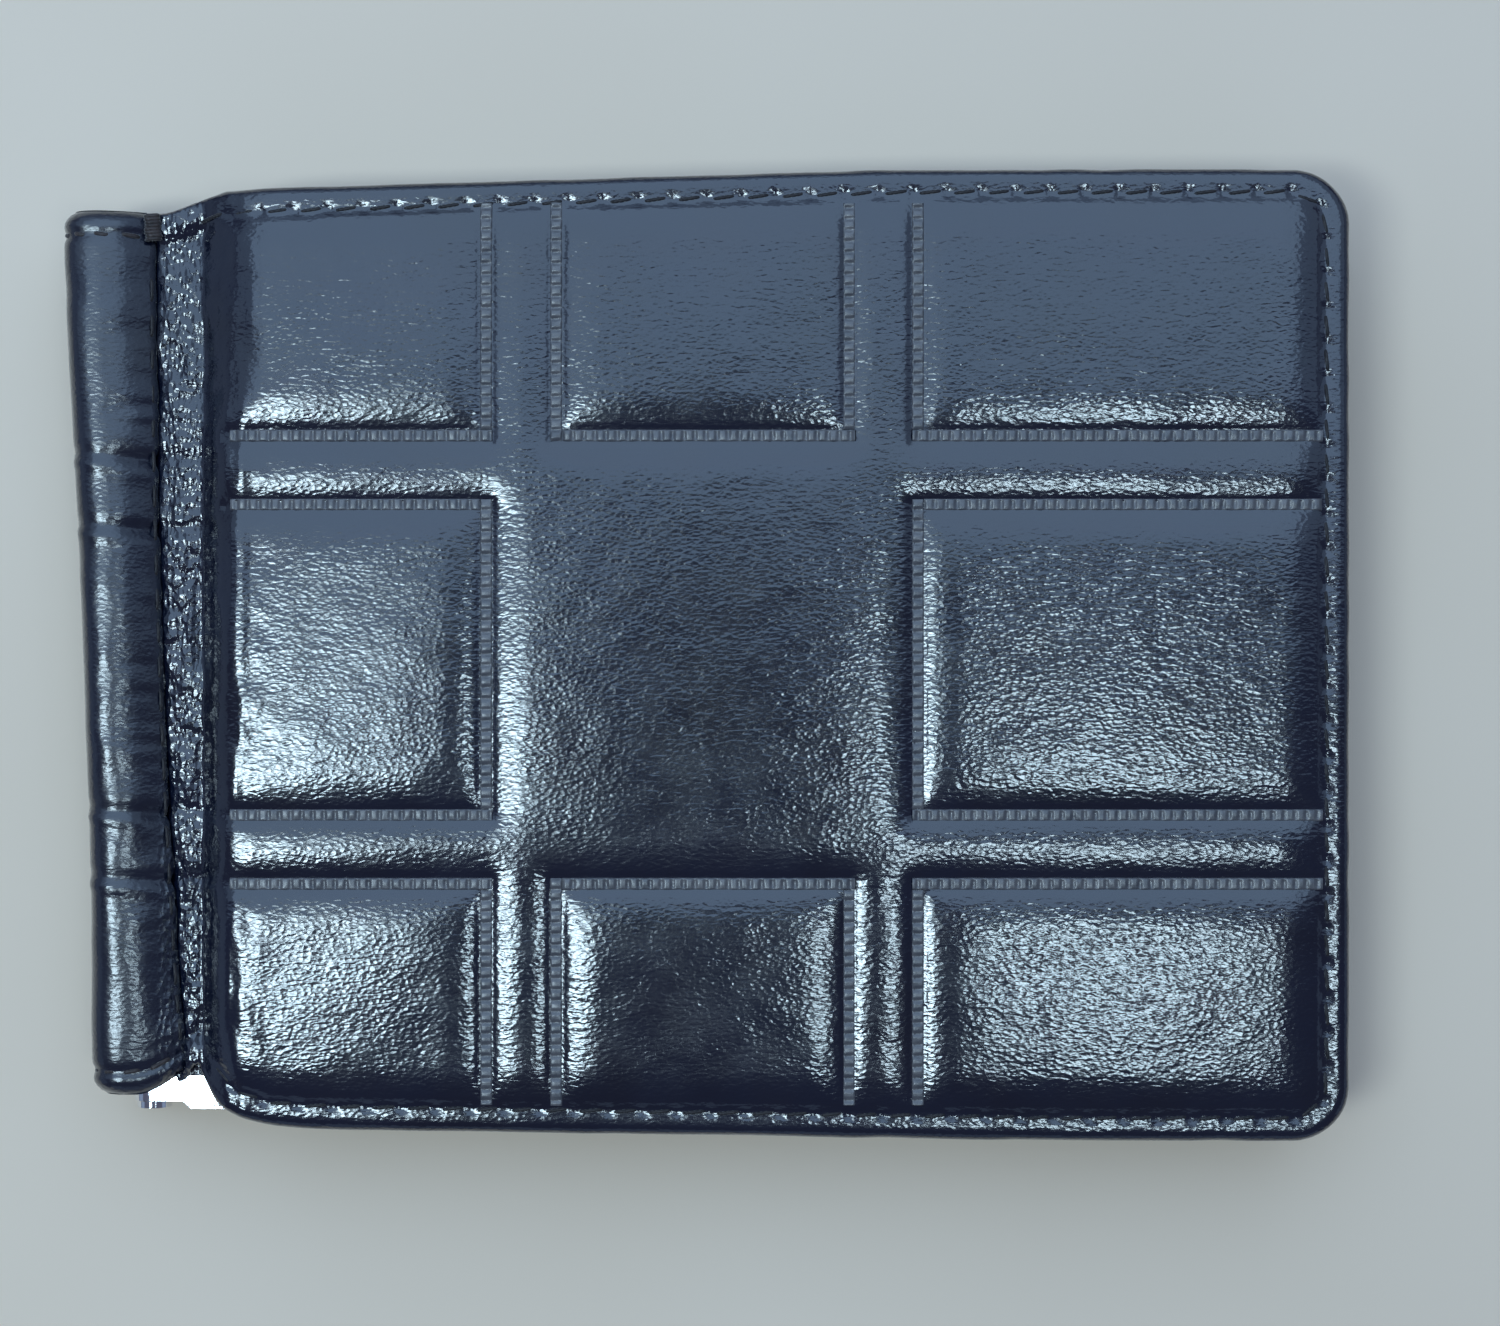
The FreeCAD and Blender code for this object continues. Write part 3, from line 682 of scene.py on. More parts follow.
# share is the leather's height over the foot of the rim, as a share of the rim's drop
on_band = band_mask(BAND_HALF)
on_rim = inset < RIM_WIDTH
share = (1 - nearness(on_rim)) * (1 - nearness(on_band) * BAND_DROP / RIM_DROP)
pinned = on_band | on_rim | (grid_x < SHOULDER_FOOT)
crown_share = spread(blur(swell(pinned), 1))
crown_share = 0.6 * np.tanh(2.2 * crown_share)


# -------- stitches

perimeter = inset_path(STITCH_INSET)
perimeter = perimeter[perimeter[:, 0] > GRID_LEFT + 0.6]
holes, hole_direction = resample(perimeter, STITCH_PITCH, start=5.5)
hole_inward = np.stack([-hole_direction[:, 1], hole_direction[:, 0]], axis=1)


def stitches(name, starts, ends, up, side=FRONT, width=0.42, height=0.36, sink=0.25,
             material=THREAD):
    """Separate stitches: rounded threads that dive in at both ends, mirrored for the back."""
    starts = face_side(starts, side)
    ends = face_side(ends, side)
    up = np.broadcast_to(np.multiply(up, (1, 1, side)), starts.shape)
    along = np.linspace(-1, 1, 11)
    turn = np.linspace(0, 2 * PI, 8, endpoint=False)
    thick = np.sqrt(np.clip(1 - along ** 6, 0.04, 1))[:, None]
    length = np.linalg.norm(ends - starts, axis=1)[:, None]
    direction = (ends - starts) / length
    across = np.cross(up, direction)
    across /= np.linalg.norm(across, axis=1, keepdims=True)
    aside = thick * np.cos(turn) * width / 2
    dive = (sink + height) * (along ** 4)[:, None]
    upward = thick * np.sin(turn) * height / 2 + height * 0.3 - dive
    points = (
        (starts + ends)[:, None, None] / 2
        + (along[:, None, None] * length[:, None, None] / 2) * direction[:, None, None]
        + aside[..., None] * across[:, None, None]
        + upward[..., None] * up[:, None, None]
    )
    per_stitch = aside.size
    last = per_stitch - len(turn)
    fan = range(1, len(turn) - 1)
    one = grid_faces(len(along), len(turn), closed=True).tolist()
    one += [[0, i + 1, i] for i in fan] + [[last, last + i, last + i + 1] for i in fan]
    faces = [[corner + number * per_stitch for corner in face]
             for number in range(len(starts)) for face in one]
    return make_piece(name, points.reshape(-1, 3), faces, material)


# -------- the covers' outer skin

DIMPLE_LENGTH = 0.70
DIMPLE_WIDTH = 0.40
DIMPLE_DEPTH = 0.22


def pucker(x, y):
    """Short slanting dimples, pulled in at each hole of the perimeter seam."""
    tree = KDTree(len(holes))
    for index, hole in enumerate(holes):
        tree.insert((*hole, 0), index)
    tree.balance()
    result = np.zeros(x.shape)
    for place in map(tuple, np.argwhere(np.abs(inset - STITCH_INSET) < 1.2)):
        hole_x, hole_y, _ = tree.find((x[place], y[place], 0))[0]
        along = (x[place] - hole_x - y[place] + hole_y) / DIMPLE_LENGTH
        across = (x[place] - hole_x + y[place] - hole_y) / DIMPLE_WIDTH
        result[place] = DIMPLE_DEPTH * math.exp(-along ** 2 - across ** 2)
    return result


def ribbon_height(x, y):
    """The soft hinge: a crumpled ribbon with a round belly, which dips under the roll's lip."""
    near_ends = smoothstep((3.4 - inset) / 1.4)
    belly = np.clip((x - seam_x(y)) / (SHOULDER_FOOT - seam_x(y)), 0, 1)
    dip = smoothstep(np.clip(seam_x(y) + 0.4 - x, 0, 2))
    height = HEIGHT - RIBBON_DROP + 0.35 * near_ends
    height = height + 0.22 * np.sin(PI * belly) - 0.85 * dip
    crumple = ripples(x, y, 0.16, 0.9, 2.6, 21) + ripples(x, y, 0.10, 0.55, 0.8, 22)
    crumple += 0.14 * noise(x / 1.6 + y / 9, y / 5.5, 23)
    height = height + crumple * (1 - 0.7 * near_ends)
    for crease in CREASES_Y:
        height = height - 0.20 * bell(y - crease, 0.5)
    return height


def skin_height(side):
    """Height of a skin's points, given as on the front; the back one is pressed flat by the table."""
    x, y = grid_x, grid_y
    z = HEIGHT - RIM_DROP + share * (RIM_DROP - CROWN * 0.55) + CROWN * crown_share
    z = z + ripples(x, y, 0.05, 9, 9, 11 + side)
    z += ripples(x, y, 0.018, 2.4, 2.1, 12 + side) * share
    z -= pucker(x, y)
    z -= 0.05 * bell(inset - STITCH_INSET, 0.45)
    folds = ripples(x, y, 0.11, 0.8, 6, 24) * bell(x + 43.4, 1.9)
    folds += 0.05 * noise(x / 1.4 + y / 3, y / 2.2, 25) * np.exp(-np.maximum(x + 42.5, 0) / 2.5)
    shoulder = shoulder_share(x, y)
    z = ribbon_height(x, y) * (1 - shoulder) + (z + folds) * shoulder
    if side == BACK:
        flat = HEIGHT - 0.02
        z = np.minimum(np.where(z > flat, flat + 0.1 * np.tanh(z - flat), z), HEIGHT)
    return z


def edge_rings():
    """How far out and how far down each ring of the rounded, turned-in edge lies."""
    on_cover = smoothstep((loop_xy[:, 0] - SHOULDER_FOOT - 0.5) / 3)
    wall = HINGE_WALL + on_cover * (WALL - HINGE_WALL)
    bulge = np.minimum(BEAD, wall * 0.45)
    under = wall * 0.22
    rings = []
    for angle in np.linspace(0, PI / 2, 6)[1:]:
        rings.append((bulge * math.sin(angle), bulge * (1 - math.cos(angle))))
    rings.append((bulge, (wall - under + bulge) * 0.5))
    for angle in np.linspace(0, PI / 2, 4):
        out = bulge - under * (1 - math.cos(angle))
        rings.append((out, wall - under + under * math.sin(angle)))
    rings.append((bulge - under - 1.6, wall + 0.02))
    return rings


def cover_skin(side):
    """Outer leather of one cover with its soft hinge, its rounded edge and its turned-in border."""
    z = skin_height(side)
    rows, columns = grid_x.shape
    core = np.stack([grid_x, grid_y, z], axis=-1)
    points = [core.reshape(-1, 3)]
    faces = [grid_faces(rows, columns)]
    count = grid_x.size
    rim_z = z.ravel()[loop]
    previous = loop
    ripple = 0.05 * noise(np.arange(len(loop)) / 9.0, np.zeros(len(loop)), 31 + side)
    for number, (out, drop) in enumerate(edge_rings()):
        shift = out + ripple * (number > 1)
        points.append(np.column_stack([loop_xy + loop_out * shift[:, None], rim_z - drop]))
        index = np.arange(len(loop)) + count
        faces.append(np.stack([previous[:-1], index[:-1], index[1:], previous[1:]], axis=1))
        previous = index
        count += len(loop)
    # the end under the roll's lip turns back above the hinge lining
    lining_top = span("front_hinge_lining")[1][2] + 0.12
    previous = np.arange(rows) * columns
    for right, up in ((-0.35, -0.55), (0.1, -1.1), (2.2, -1.1), (4.6, -1.05)):
        strip = core[:, 0] + np.array([right, 0, up])
        strip[:, 2] = np.maximum(strip[:, 2], lining_top)
        points.append(strip)
        index = np.arange(rows) + count
        faces.append(np.stack([previous[:-1], previous[1:], index[1:], index[:-1]], axis=1))
        previous = index
        count += rows
    name = SIDE_NAME[side]
    piece = make_piece(f"{name}_cover_skin", face_side(np.concatenate(points), side),
                       np.concatenate(faces), LEATHER, flip=side == BACK)
    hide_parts(f"{name}_outer_leather", f"{name}_foam_pad", f"{name}_hinge_leather")
    blend_over_hinge(piece)
    return z


skin_z = {side: cover_skin(side) for side in (FRONT, BACK)}


def sample(side, x, y):
    """Height of a cover's skin at places away from its round corners."""
    edge = np.where(y > 0, top_edge(x), bottom_edge(x)) - BEAD
    stretch = (GRID_HALF - PLAIN_HALF) / (edge - PLAIN_HALF)
    outer = PLAIN_HALF + (np.abs(y) - PLAIN_HALF) * stretch
    v = np.sign(y) * np.where(np.abs(y) > PLAIN_HALF, outer, np.abs(y))
    column = np.clip((x - GRID_LEFT) / (columns_u[1] - columns_u[0]), 0, len(columns_u) - 1.001)
    row = np.clip((v + GRID_HALF) / (rows_v[1] - rows_v[0]), 0, len(rows_v) - 1.001)
    return interpolate(skin_z[side], row, column)


# -------- ladder ribs in the bands

RIB_PITCH = 1.0
RIB_STEP = 0.125
RIB_PLACES = np.array([-0.56, -0.46, -0.36, -0.12, 0.12, 0.36, 0.46, 0.56])
RIB_FLOOR = np.array([-0.12, 0.04, -0.04, -0.04, -0.04, -0.04, 0.04, -0.12])
RIB_HEIGHT = np.array([0.0, 0.05, 0.15, 0.17, 0.17, 0.15, 0.05, 0.0])


def rib_strip(side, start, end, low_trim, high_trim):
    """Rows of points along one straight piece of a band, with a rib at every pitch."""
    length = np.linalg.norm(end - start)
    run = (end - start) / length
    steps = np.arange(low_trim, length + high_trim, RIB_STEP)
    centre = start + steps[:, None] * run
    place = centre[:, None, :] + RIB_PLACES[None, :, None] * np.array([-run[1], run[0]])
    beat = 0.5 + 0.5 * np.cos(2 * PI * steps / RIB_PITCH)
    level = sample(side, centre[:, 0], centre[:, 1])[:, None] + 0.07 + RIB_FLOOR
    level = level + RIB_HEIGHT * np.minimum(beat * 1.9, 1.0)[:, None]
    level += 0.05 * noise(place[..., 0] * 1.6, place[..., 1] * 1.6, 41)
    return np.concatenate([place, level[..., None]], axis=-1).reshape(-1, 3)


def band_ribs(side):
    """The bands' pressed ladders, which turn each corner without overlapping."""
    trim = RIB_PLACES[-1]
    points = []
    faces = []
    count = 0
    for line in BAND_LINES:
        corners = [np.array(corner) for corner in line]
        for number, (start, end) in enumerate(zip(corners[:-1], corners[1:])):
            low_trim = 0.0 if number == 0 else trim
            high_trim = trim if number < len(line) - 2 else 0.0
            strip = rib_strip(side, start, end, low_trim, high_trim)
            points.append(strip)
            faces.append(grid_faces(len(strip) // len(RIB_PLACES), len(RIB_PLACES), start=count))
            count += len(strip)
    points = face_side(np.concatenate(points), side)
    if side == BACK:
        points[:, 2] = np.maximum(points[:, 2], 0.02)
    name = SIDE_NAME[side]
    piece = make_piece(f"{name}_band_ribs", points, np.concatenate(faces), BAND,
                       flip=side == FRONT)
    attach(piece, f"{name}_cover")


for side in (FRONT, BACK):
    band_ribs(side)


# -------- perimeter stitches

def perimeter_stitches(side):
    """The perimeter seam's slanting stitches, from hole to hole."""
    slant = hole_inward * 0.16
    shoulder = shoulder_share(holes[:, 0], holes[:, 1])
    on_ribbon = HEIGHT - RIBBON_DROP + 0.25
    level = on_ribbon * (1 - shoulder) + (HEIGHT - RIM_DROP - 0.10) * shoulder
    starts = np.column_stack([holes + hole_direction * 0.25 - slant, level])[:-1]
    ends = np.column_stack([holes - hole_direction * 0.2 + slant, level])[1:]
    name = SIDE_NAME[side]
    # these stitches use the thread darkened with painted shade
    piece = stitches(f"{name}_perimeter_stitches", starts, ends, (0, 0, 1), side,
                     width=0.33, height=0.25, material=SHADED_THREAD)
    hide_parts(f"{name}_perimeter_thread")
    blend_over_hinge(piece)


for side in (FRONT, BACK):
    perimeter_stitches(side)


# -------- rolled spine

ROLL_LEAN = 0.0385
ROLL_BOW = 0.0003
ROLL_CUT = 2.6  # at the seam's lower end


def roll_left(y):
    """The roll's outer edge in plan: it leans out towards its upper end."""
    crest = roll_low[0]
    return np.minimum(crest + 0.05 - ROLL_LEAN * y - ROLL_BOW * y * y, crest + 0.88)


def roll_warp(x, y, z):
    """Leans the round roll: its crest moves out, its lips follow the seam, its ends are cut aslant."""
    z = z + np.tanh((z - HEIGHT / 2) / 2) * (0.45 - 0.42 * x)
    across = (x + ROLL_RADIUS) / (ROLL_LIP + ROLL_RADIUS)
    across = across - 0.2 * across * (1 - across)
    left = roll_left(y)
    x = left + across * (seam_x(y) + 0.1 - left)
    cut = ROLL_CUT * np.clip((x + 52.1) / 4.5, 0, 1) ** 1.5
    reach = ROLL_HALF - PLAIN_HALF
    beyond = np.where(y < 0, -cut, 0.3) / reach * np.maximum(np.abs(y) - PLAIN_HALF, 0)
    return x, y + np.sign(y) * beyond, z


def roll_profile():
    """The roll's outer line from the front lip round to the back lip: places, outward normals."""
    upper = np.linspace(-LIP_ANGLE, PI / 2, 26)
    lower = np.linspace(PI / 2, PI + LIP_ANGLE, 26)
    flank = np.linspace(ROLL_HIGH_Z, ROLL_LOW_Z, 9)[1:-1]
    angles = np.concatenate([upper, np.full(len(flank), PI / 2), lower])
    centres = np.concatenate([0 * upper + ROLL_HIGH_Z, flank, 0 * lower + ROLL_LOW_Z])
    normals = np.stack([-np.sin(angles), np.cos(angles)], axis=1)
    return normals * ROLL_RADIUS + np.stack([0 * centres, centres], axis=1), normals


def roll_relief(x, y, z):
    """How far the roll's leather stands out: wrinkles, creases, and ends that are drawn in."""
    flank = smoothstep((x + 1.0) / 3.0)
    top = smoothstep((np.abs(z - HEIGHT / 2) - 1.5) / 2.5)
    amount = 0.10 * noise(x / 2.5 + 7, y / 7, 51)
    amount += ripples(x, y, 0.09, 3.0, 0.9, 52) * flank * top
    amount += ripples(x, y, 0.05, 1.5, 2.2, 53) * top
    for crease in CREASES_Y:
        place = y - crease + 0.12 * x
        amount -= (0.12 + 0.42 * flank) * bell(place, 0.55) * top
        amount += 0.12 * bell(place + 1.0, 0.5) * top * (1 - flank)
    end = np.minimum(ROLL_HALF - np.abs(y), 6.0)
    amount -= 0.20 * bell(end - STITCH_INSET, 0.4)
    amount += 0.10 * bell(end - 1.1, 0.6)
    amount -= 0.45 * np.exp(-end / 0.35) + 0.65 * np.exp(-end / 1.3)
    return amount


def spine_skin():
    """The rolled leather, leaning and creased, with thick lips and turned ends."""
    places, normals = roll_profile()
    inner = (places - normals * ROLL_SKIN)[::-1]
    lip_low = (places[-1] + inner[0]) / 2 + np.array([0.35, 0])
    lip_high = (places[0] + inner[-1]) / 2 + np.array([0.35, 0])
    section = np.concatenate([places, [lip_low], inner, [lip_high]])
    out = np.concatenate([normals, [[1, 0]], -normals[::-1], [[1, 0]]])
    # the relief shows in full outside, not at all inside, and partly on the lips
    outer = np.concatenate([np.ones(len(places)), [0.6], np.zeros(len(inner)), [0.6]])
    rows = np.linspace(-ROLL_HALF, ROLL_HALF, int(2 * ROLL_HALF / 0.35) + 1)
    y, x = np.meshgrid(rows, section[:, 0], indexing="ij")
    z = np.broadcast_to(section[:, 1], y.shape)
    shift = roll_relief(x, y, z) * outer
    points = np.stack(roll_warp(x + shift * out[:, 0], y, z + shift * out[:, 1]), axis=-1)
    count = len(section)
    faces = [grid_faces(len(rows), count, closed=True)]
    outside = np.arange(len(places))
    inside = 2 * len(places) - outside
    end_face = np.stack([outside[:-1], outside[1:], inside[1:], inside[:-1]], axis=1)
    faces.append(end_face)
    faces.append((end_face + (len(rows) - 1) * count)[:, ::-1])
    piece = make_piece("spine_roll", points.reshape(-1, 3), np.concatenate(faces), ROLL_LEATHER)
    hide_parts("spine_outer_leather")
    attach(piece, "spine")


spine_skin()


def roll_surface(angle, y, lift=0.0):
    """Places on the roll's front quarter: angle 0 is the top, positive towards the outside."""
    reach = ROLL_RADIUS + lift
    place = roll_warp(-np.sin(angle) * reach, y, ROLL_HIGH_Z + np.cos(angle) * reach)
    return np.stack(np.broadcast_arrays(*place), axis=-1)


def roll_end_stitches(side, end, name):
    """Stitches across the roll near one end."""
    y = end * (ROLL_HALF - STITCH_INSET)
    angles = np.linspace(-LIP_ANGLE + 0.12, PI / 2 - 0.22, 5)
    starts = roll_surface(angles[:-1] + 0.05, y - 0.12 * end, lift=-0.30)
    ends = roll_surface(angles[1:] - 0.05, y + 0.12 * end, lift=-0.30)
    middle = (angles[:-1] + angles[1:]) / 2
    up = np.column_stack([-np.sin(middle), 0 * middle, np.cos(middle)])
    piece = stitches(name, starts, ends, up, side, sink=0.15)
    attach(piece, "spine")


for side in (FRONT, BACK):
    for end, label in ((1, "upper"), (-1, "lower")):
        roll_end_stitches(side, end, f"{SIDE_NAME[side]}_{label}_roll_stitches")


def seam_stitches(side):
    """The seam that holds the roll's lip down on the soft hinge."""
    low, high = span("front_seam_thread")
    rows = np.arange(low[1] + 0.4, high[1] - STITCH_PITCH, STITCH_PITCH)
    angle = -math.asin((ROLL_LIP - 0.2) / ROLL_RADIUS)
    starts = roll_surface(angle, rows)
    ends = roll_surface(angle, rows + STITCH_PITCH - 0.6)
    up = (-math.sin(angle), 0, math.cos(angle))
    name = SIDE_NAME[side]
    # these stitches use the thread darkened with painted shade, as they lie in the groove under the
    # lip
    piece = stitches(f"{name}_seam_stitches", starts, ends, up, side,
                     width=0.30, height=0.24, material=SHADED_THREAD)
    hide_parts(f"{name}_seam_thread")
    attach(piece, "spine")


def bar_tack(side):
    """Crosswise stitches that lock the seam's upper end."""
    rows = np.arange(ROLL_HALF - 2.3, ROLL_HALF - 0.1, 0.30)
    x = seam_x(rows) + 0.12 * noise(rows * 3, rows * 0, 61)
    starts = np.column_stack([x - 0.85, rows, np.full(len(rows), HEIGHT - 2.05)])
    ends = np.column_stack([x + 0.75, rows + 0.12, np.full(len(rows), HEIGHT - 2.35)])
    name = SIDE_NAME[side]
    piece = stitches(f"{name}_bar_tack_stitches", starts, ends, (0.18, 0, 1), side,
                     height=0.5, sink=0.1)
    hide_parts(f"{name}_bar_tack")
    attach(piece, "spine")


for side in (FRONT, BACK):
    seam_stitches(side)
    bar_tack(side)


# -------- inner panels

PANEL_STEP = 0.8
PANEL_CORNER = CORNER_RADIUS - 0.6
PANEL_TAPER = 0.039
MOUTH_INSET = 2.6


def panel_grid(low, high, has_mouth):
    """Plain grid coordinates of a panel, and the same points with round corners and a taper."""
    us = np.linspace(low[0], high[0], int((high[0] - low[0]) / PANEL_STEP) + 1)
    vs = np.linspace(low[1], high[1], int((high[1] - low[1]) / PANEL_STEP) + 1)
    us = np.sort(np.concatenate([us, [low[0] + 0.25, high[0] - 0.25]]))
    mouth_rows = [high[1] - 0.25, high[1] - 0.55, high[1] - 1.0]
    vs = np.sort(np.concatenate([vs, [low[1] + 0.25], mouth_rows]))
    u, v = np.meshgrid(us, vs)
    x, y = u, v
    corners = [(1, -1), (-1, -1)] if has_mouth else [(1, -1), (-1, -1), (1, 1), (-1, 1)]
    for right, up in corners:
        centre_x = (high[0] if right > 0 else low[0]) - right * PANEL_CORNER
        centre_y = (high[1] if up > 0 else low[1]) - up * PANEL_CORNER
        a, b = round_corner(right * (x - centre_x), up * (y - centre_y), PANEL_CORNER)
        x, y = centre_x + right * a, centre_y + up * b
    taper = 1 - PANEL_TAPER * (RIGHT - x) / (RIGHT - COVER_LEFT)
    y = np.where(has_mouth & (y > 0), y, y * taper)
    return u, v, x, y


def panel(name, node, side, has_mouth, seed):
    """A closed thin slab: rounded border, a groove for its seam, a thicker edge at its mouth."""
    cloth = node.endswith("lining")
    bead = 0.22 if side == FRONT else 0.02
    low, high = span(node)
    u, v, x, y = panel_grid(low, high, has_mouth)
    rim = np.minimum(np.minimum(u - low[0], high[0] - u), v - low[1])
    if not has_mouth:
        rim = np.minimum(rim, high[1] - v)
    relief = -0.16 * np.exp(-rim / 0.35) + ripples(x, y, 0.0 if cloth else 0.04, 14, 11, seed)
    relief += ripples(x, y, 0.012, 2.0, 2.0, seed + 1)
    relief -= 0.10 * bell(rim - STITCH_INSET, 0.5)
    if has_mouth:
        to_mouth = high[1] - v
        relief += bead * smoothstep((1.5 - to_mouth) / 0.6) * (1 - np.exp(-to_mouth / 0.25))
        relief -= 0.10 * bell(to_mouth - MOUTH_INSET, 0.3)
    face_z, back_z = (high[2], low[2]) if side == BACK else (low[2], high[2])
    face = np.stack([x, y, face_z - side * relief], axis=-1)
    back = np.stack([x, y, np.full(x.shape, back_z)], axis=-1)
    points = np.concatenate([face.reshape(-1, 3), back.reshape(-1, 3)])
    front_faces = grid_faces(*x.shape)
    edge = border(*x.shape)
    following = np.roll(edge, -1)
    walls = np.stack([edge, edge + x.size, following + x.size, following], axis=1)
    faces = np.concatenate([front_faces, front_faces[:, ::-1] + x.size, walls])
    material, slot = (FABRIC, "lining") if cloth else (INNER, "inner_leather")
    piece = make_piece(name, points, faces, material, flip=side == FRONT)
    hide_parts(node)
    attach(piece, f"{SIDE_NAME[side]}_cover")


PANELS = (
    ("front_lining_cloth", "front_lining", FRONT, False),
    ("back_lining_cloth", "back_lining", BACK, False),
    ("hidden_pocket", "back_slip_pocket", BACK, True),
    ("note_side", "note_panel", BACK, False),
    ("card_pocket_1", "card_slot_1", FRONT, True),
    ("card_pocket_2", "card_slot_2", FRONT, True),
    ("card_pocket_3", "card_slot_3", FRONT, True),
)
for number, (name, node, side, has_mouth) in enumerate(PANELS):
    panel(name, node, side, has_mouth, seed=71 + number * 2)


def pocket_stitches():
    """A row of short stitches along each card pocket's mouth."""
    for number in (1, 2, 3):
        low, high = span(f"card_slot_{number}")
        x = np.arange(low[0] + 6, high[0] - 6 - STITCH_PITCH, 2.6)
        y = np.full(len(x), high[1] - MOUTH_INSET)
        starts = np.column_stack([x, y, np.full(len(x), low[2])])
        ends = starts + np.array([2.1, 0, 0])
        piece = stitches(f"card_pocket_{number}_stitches", starts, ends, (0, 0, -1),
                         width=0.32, height=0.26, sink=0.1)
        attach(piece, "front_cover")


pocket_stitches()


def inner_perimeter_stitches(side):
    """The perimeter seam where it shows on the inside, stepping with the pockets."""
    keep = holes[:, 0] > COVER_LEFT + 2.5
    places = holes[keep] + hole_inward[keep] * 0.4
    gap = hole_direction[keep] * 0.3
    if side == FRONT:
        level = np.full(len(places), span("front_lining")[0][2])
        for number in (1, 2, 3):
            low, high = span(f"card_slot_{number}")
            level = np.where(places[:, 1] < high[1], low[2], level)
    else:
        level = np.full(len(places), span("note_panel")[1][2])
    level = level - side * 0.02
    starts = np.column_stack([places + gap, level])[:-1]
    ends = np.column_stack([(places - gap)[1:], level[:-1]])
    good = np.linalg.norm(ends - starts, axis=1) < STITCH_PITCH * 1.3
    name = SIDE_NAME[side]
    piece = stitches(f"{name}_inside_stitches", starts[good], ends[good], (0, 0, -side),
                     width=0.36, height=0.28, sink=0.1)
    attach(piece, f"{name}_cover")


for side in (FRONT, BACK):
    inner_perimeter_stitches(side)


# -------- inner strips

def strip_block(name, node, edge_radius):
    """A leather strip along Y with rounded edges and softly wavy sides."""
    low, high = span(node)
    near = low + edge_radius
    far = high - edge_radius
    corners = []
    centres = ((far[0], far[2]), (near[0], far[2]), (near[0], near[2]), (far[0], near[2]))
    for quarter, (x, z) in enumerate(centres):
        for angle in np.linspace(quarter * PI / 2, (quarter + 1) * PI / 2, 4):
            corners.append((x + math.cos(angle) * edge_radius, z + math.sin(angle) * edge_radius))
    section = []
    for (xa, za), (xb, zb) in zip(corners, corners[1:] + corners[:1]):
        steps = max(int(math.hypot(xb - xa, zb - za) / 0.5), 1)
        for k in range(steps):
            section.append((xa + (xb - xa) * k / steps, za + (zb - za) * k / steps))
    section = np.array(section)
    rows = np.linspace(low[1], high[1], 120)
    y, x = np.meshgrid(rows, section[:, 0], indexing="ij")
    z = np.broadcast_to(section[:, 1], y.shape)
    points = np.stack([x + 0.05 * noise(z / 3, y / 6, 81), y, z], axis=-1).reshape(-1, 3)
    count = len(section)
    faces = grid_faces(len(rows), count, closed=True).tolist()
    faces.append(list(range(count)))
    faces.append([(len(rows) - 1) * count + k for k in range(count)][::-1])
    piece = make_piece(name, points, faces, INNER)
    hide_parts(node)
    return piece


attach(strip_block("spine_tunnel_strip", "spine_inner_leather", 0.25), "spine")
for name in SIDE_NAME.values():
    node = f"{name}_hinge_lining"
    piece = strip_block(f"{name}_hinge_strip", node, 0.2)
    low, high = span(node)
    middle_z = (low[2] + high[2]) / 2
    end = Vector((high[0] - 0.3, 0, middle_z)) * MM
    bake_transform(piece)


# -------- finishes of the CAD pieces that stay

FINISHES = {
    CHROME: ("clip_frame", "clip_pivot_rod"),
    PLATED: ("clip_base_channel", "clip_rivets"),
    WIRE: ("upper_torsion_spring", "lower_torsion_spring"),
    BOARD: ("front_board", "back_board", "spine_stiffener"),
}
for material, nodes in FINISHES.items():
    for node in nodes:
        for material_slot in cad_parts[node].material_slots:
            material_slot.material = material


# -------- floor, light and camera, with the floor's and the lights' sizes in metres

FLOOR_HALF = 4.0
LIGHT_HEIGHT = 0.6
COOL = (0.46, 0.69, 1.0)
WHITE = (0.66, 0.87, 1.0)
WINDOW_LEFT = -0.330
WINDOW_ROW = 0.036
WINDOW_RADIANCES = (5.0, 13.0, 24.0, 26.0)


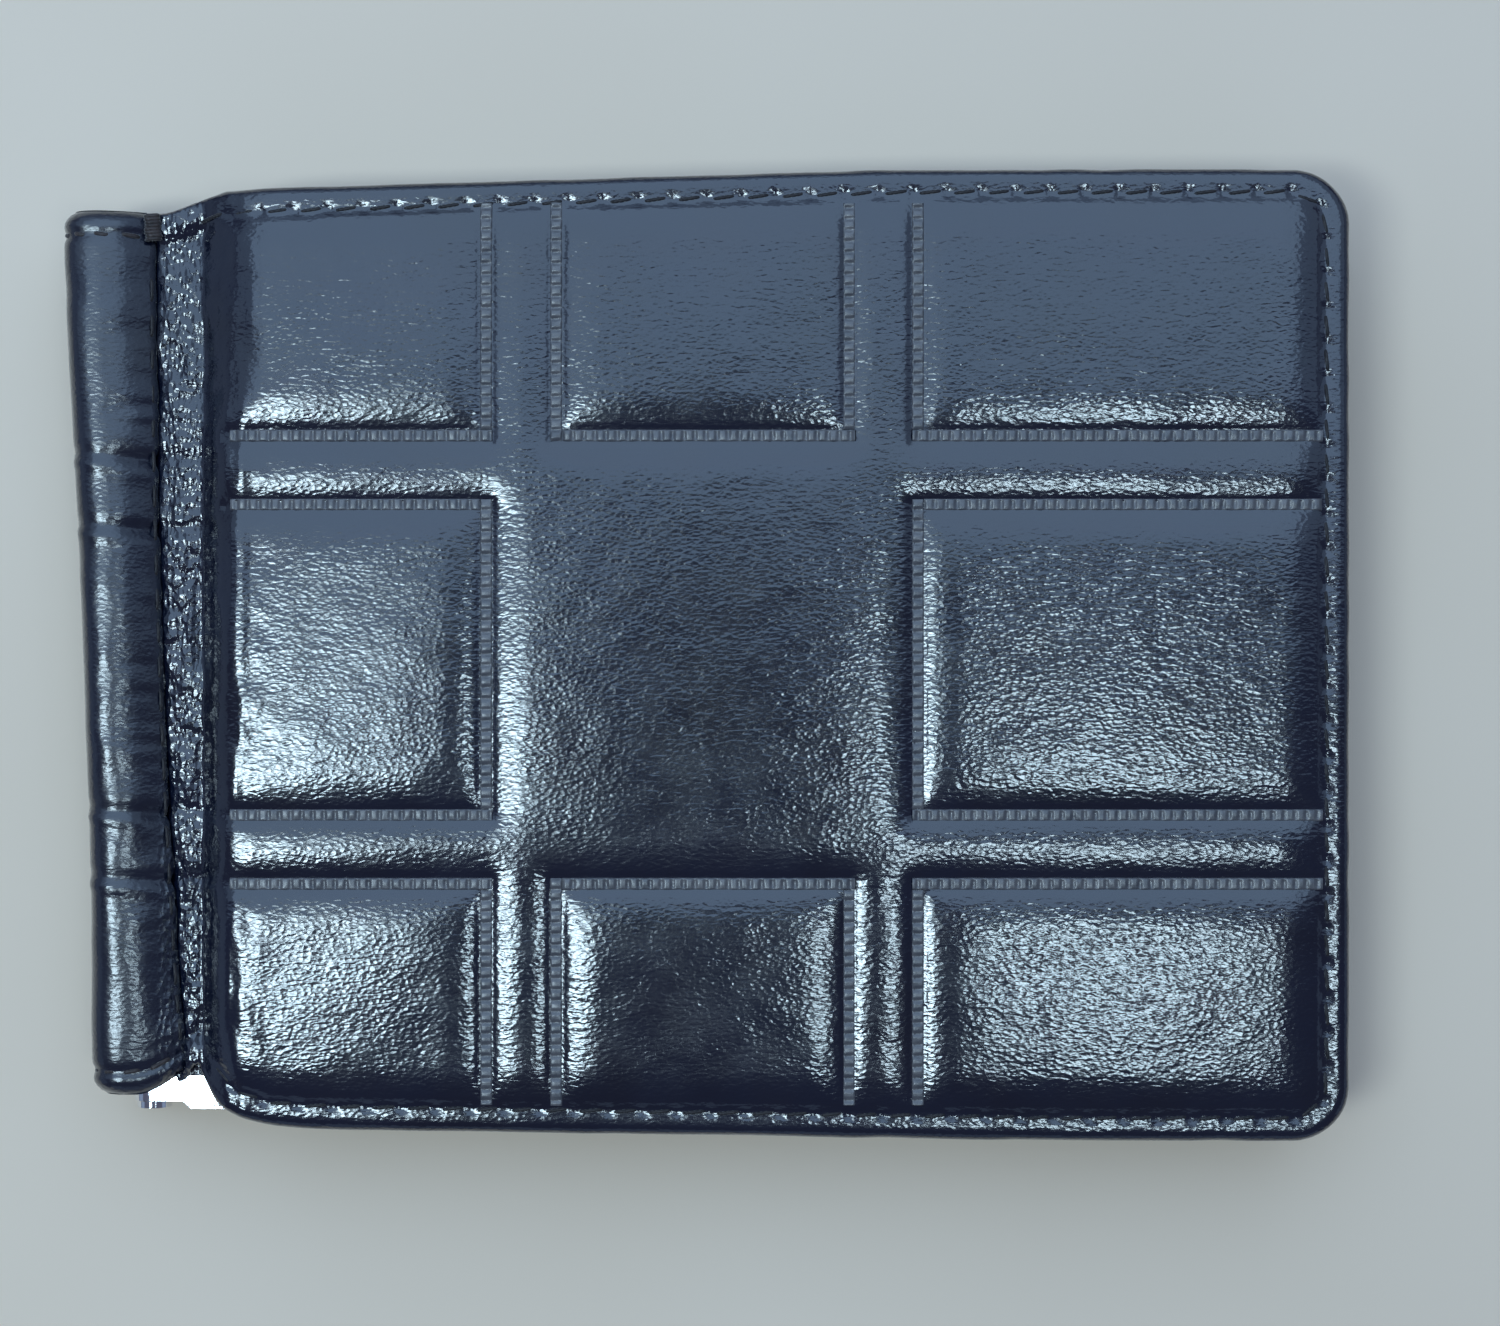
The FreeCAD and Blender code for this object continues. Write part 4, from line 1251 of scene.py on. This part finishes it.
def floor():
    mesh = bpy.data.meshes.new("floor")
    corners = [(x * FLOOR_HALF, y * FLOOR_HALF, 0) for x, y in ((-1, -1), (1, -1), (1, 1), (-1, 1))]
    mesh.from_pydata(corners, [], [(0, 1, 2, 3)])
    mesh.materials.append(pale_floor())
    add_object("floor", mesh)


def panel_light(name, place, width, length, radiance, color, turn=0.0, tilt=0.0):
    """A rectangular light, its brightness given per unit of area; it faces down unless tilted."""
    data = bpy.data.lights.new(name, "AREA")
    data.shape = "RECTANGLE"
    data.size = width
    data.size_y = length
    data.energy = radiance * width * length * PI
    data.color = color
    light = add_object(name, data)
    light.location = place
    light.rotation_euler = (tilt, 0, turn)


def studio():
    """A dim sky, two broad panels and two bright windows overhead, and weak panels all round."""
    world = bpy.data.worlds.new("studio")
    bpy.context.scene.world = world
    world.use_nodes = True
    set_inputs(world.node_tree.nodes["Background"], {"Color": (0.60, 0.66, 1.0, 1), "Strength": 0.15})
    # overlapping lights at one height hide each other in reflections, so the widest is higher
    panel_light("wide_sky", (0.0, 0.92, LIGHT_HEIGHT + 0.05), 2.0, 1.76, 0.6, COOL)
    panel_light("overhead_panel", (-0.06, 0.45, LIGHT_HEIGHT), 0.72, 0.82, 1.25, COOL)
    for row, radiance in enumerate(WINDOW_RADIANCES):
        right = -0.070 - 0.028 * row
        place = ((right + WINDOW_LEFT) / 2, -0.006 - WINDOW_ROW * row, LIGHT_HEIGHT)
        panel_light(f"left_window_{row}", place, right - WINDOW_LEFT, WINDOW_ROW, radiance, WHITE)
    panel_light("right_window", (0.114, -0.085, LIGHT_HEIGHT), 0.116, 0.054, 16.5, WHITE, turn=-0.5)
    for number in range(4):
        turn = number * PI / 2
        place = (1.1 * math.sin(turn), -1.1 * math.cos(turn), 0.34)
        panel_light(f"side_panel_{number}", place, 1.6, 0.56, 0.25, COOL, turn=turn, tilt=PI / 2)


def camera():
    data = bpy.data.cameras.new("camera")
    data.sensor_width = 36
    data.lens = 65.4
    data.clip_start = 0.01
    data.clip_end = 20
    viewer = add_object("camera", data)
    viewer.location = Vector((3.27, -0.8, 260.0)) * MM
    bpy.context.scene.camera = viewer


floor()
studio()
camera()
bpy.context.scene.view_settings.view_transform = "Standard"
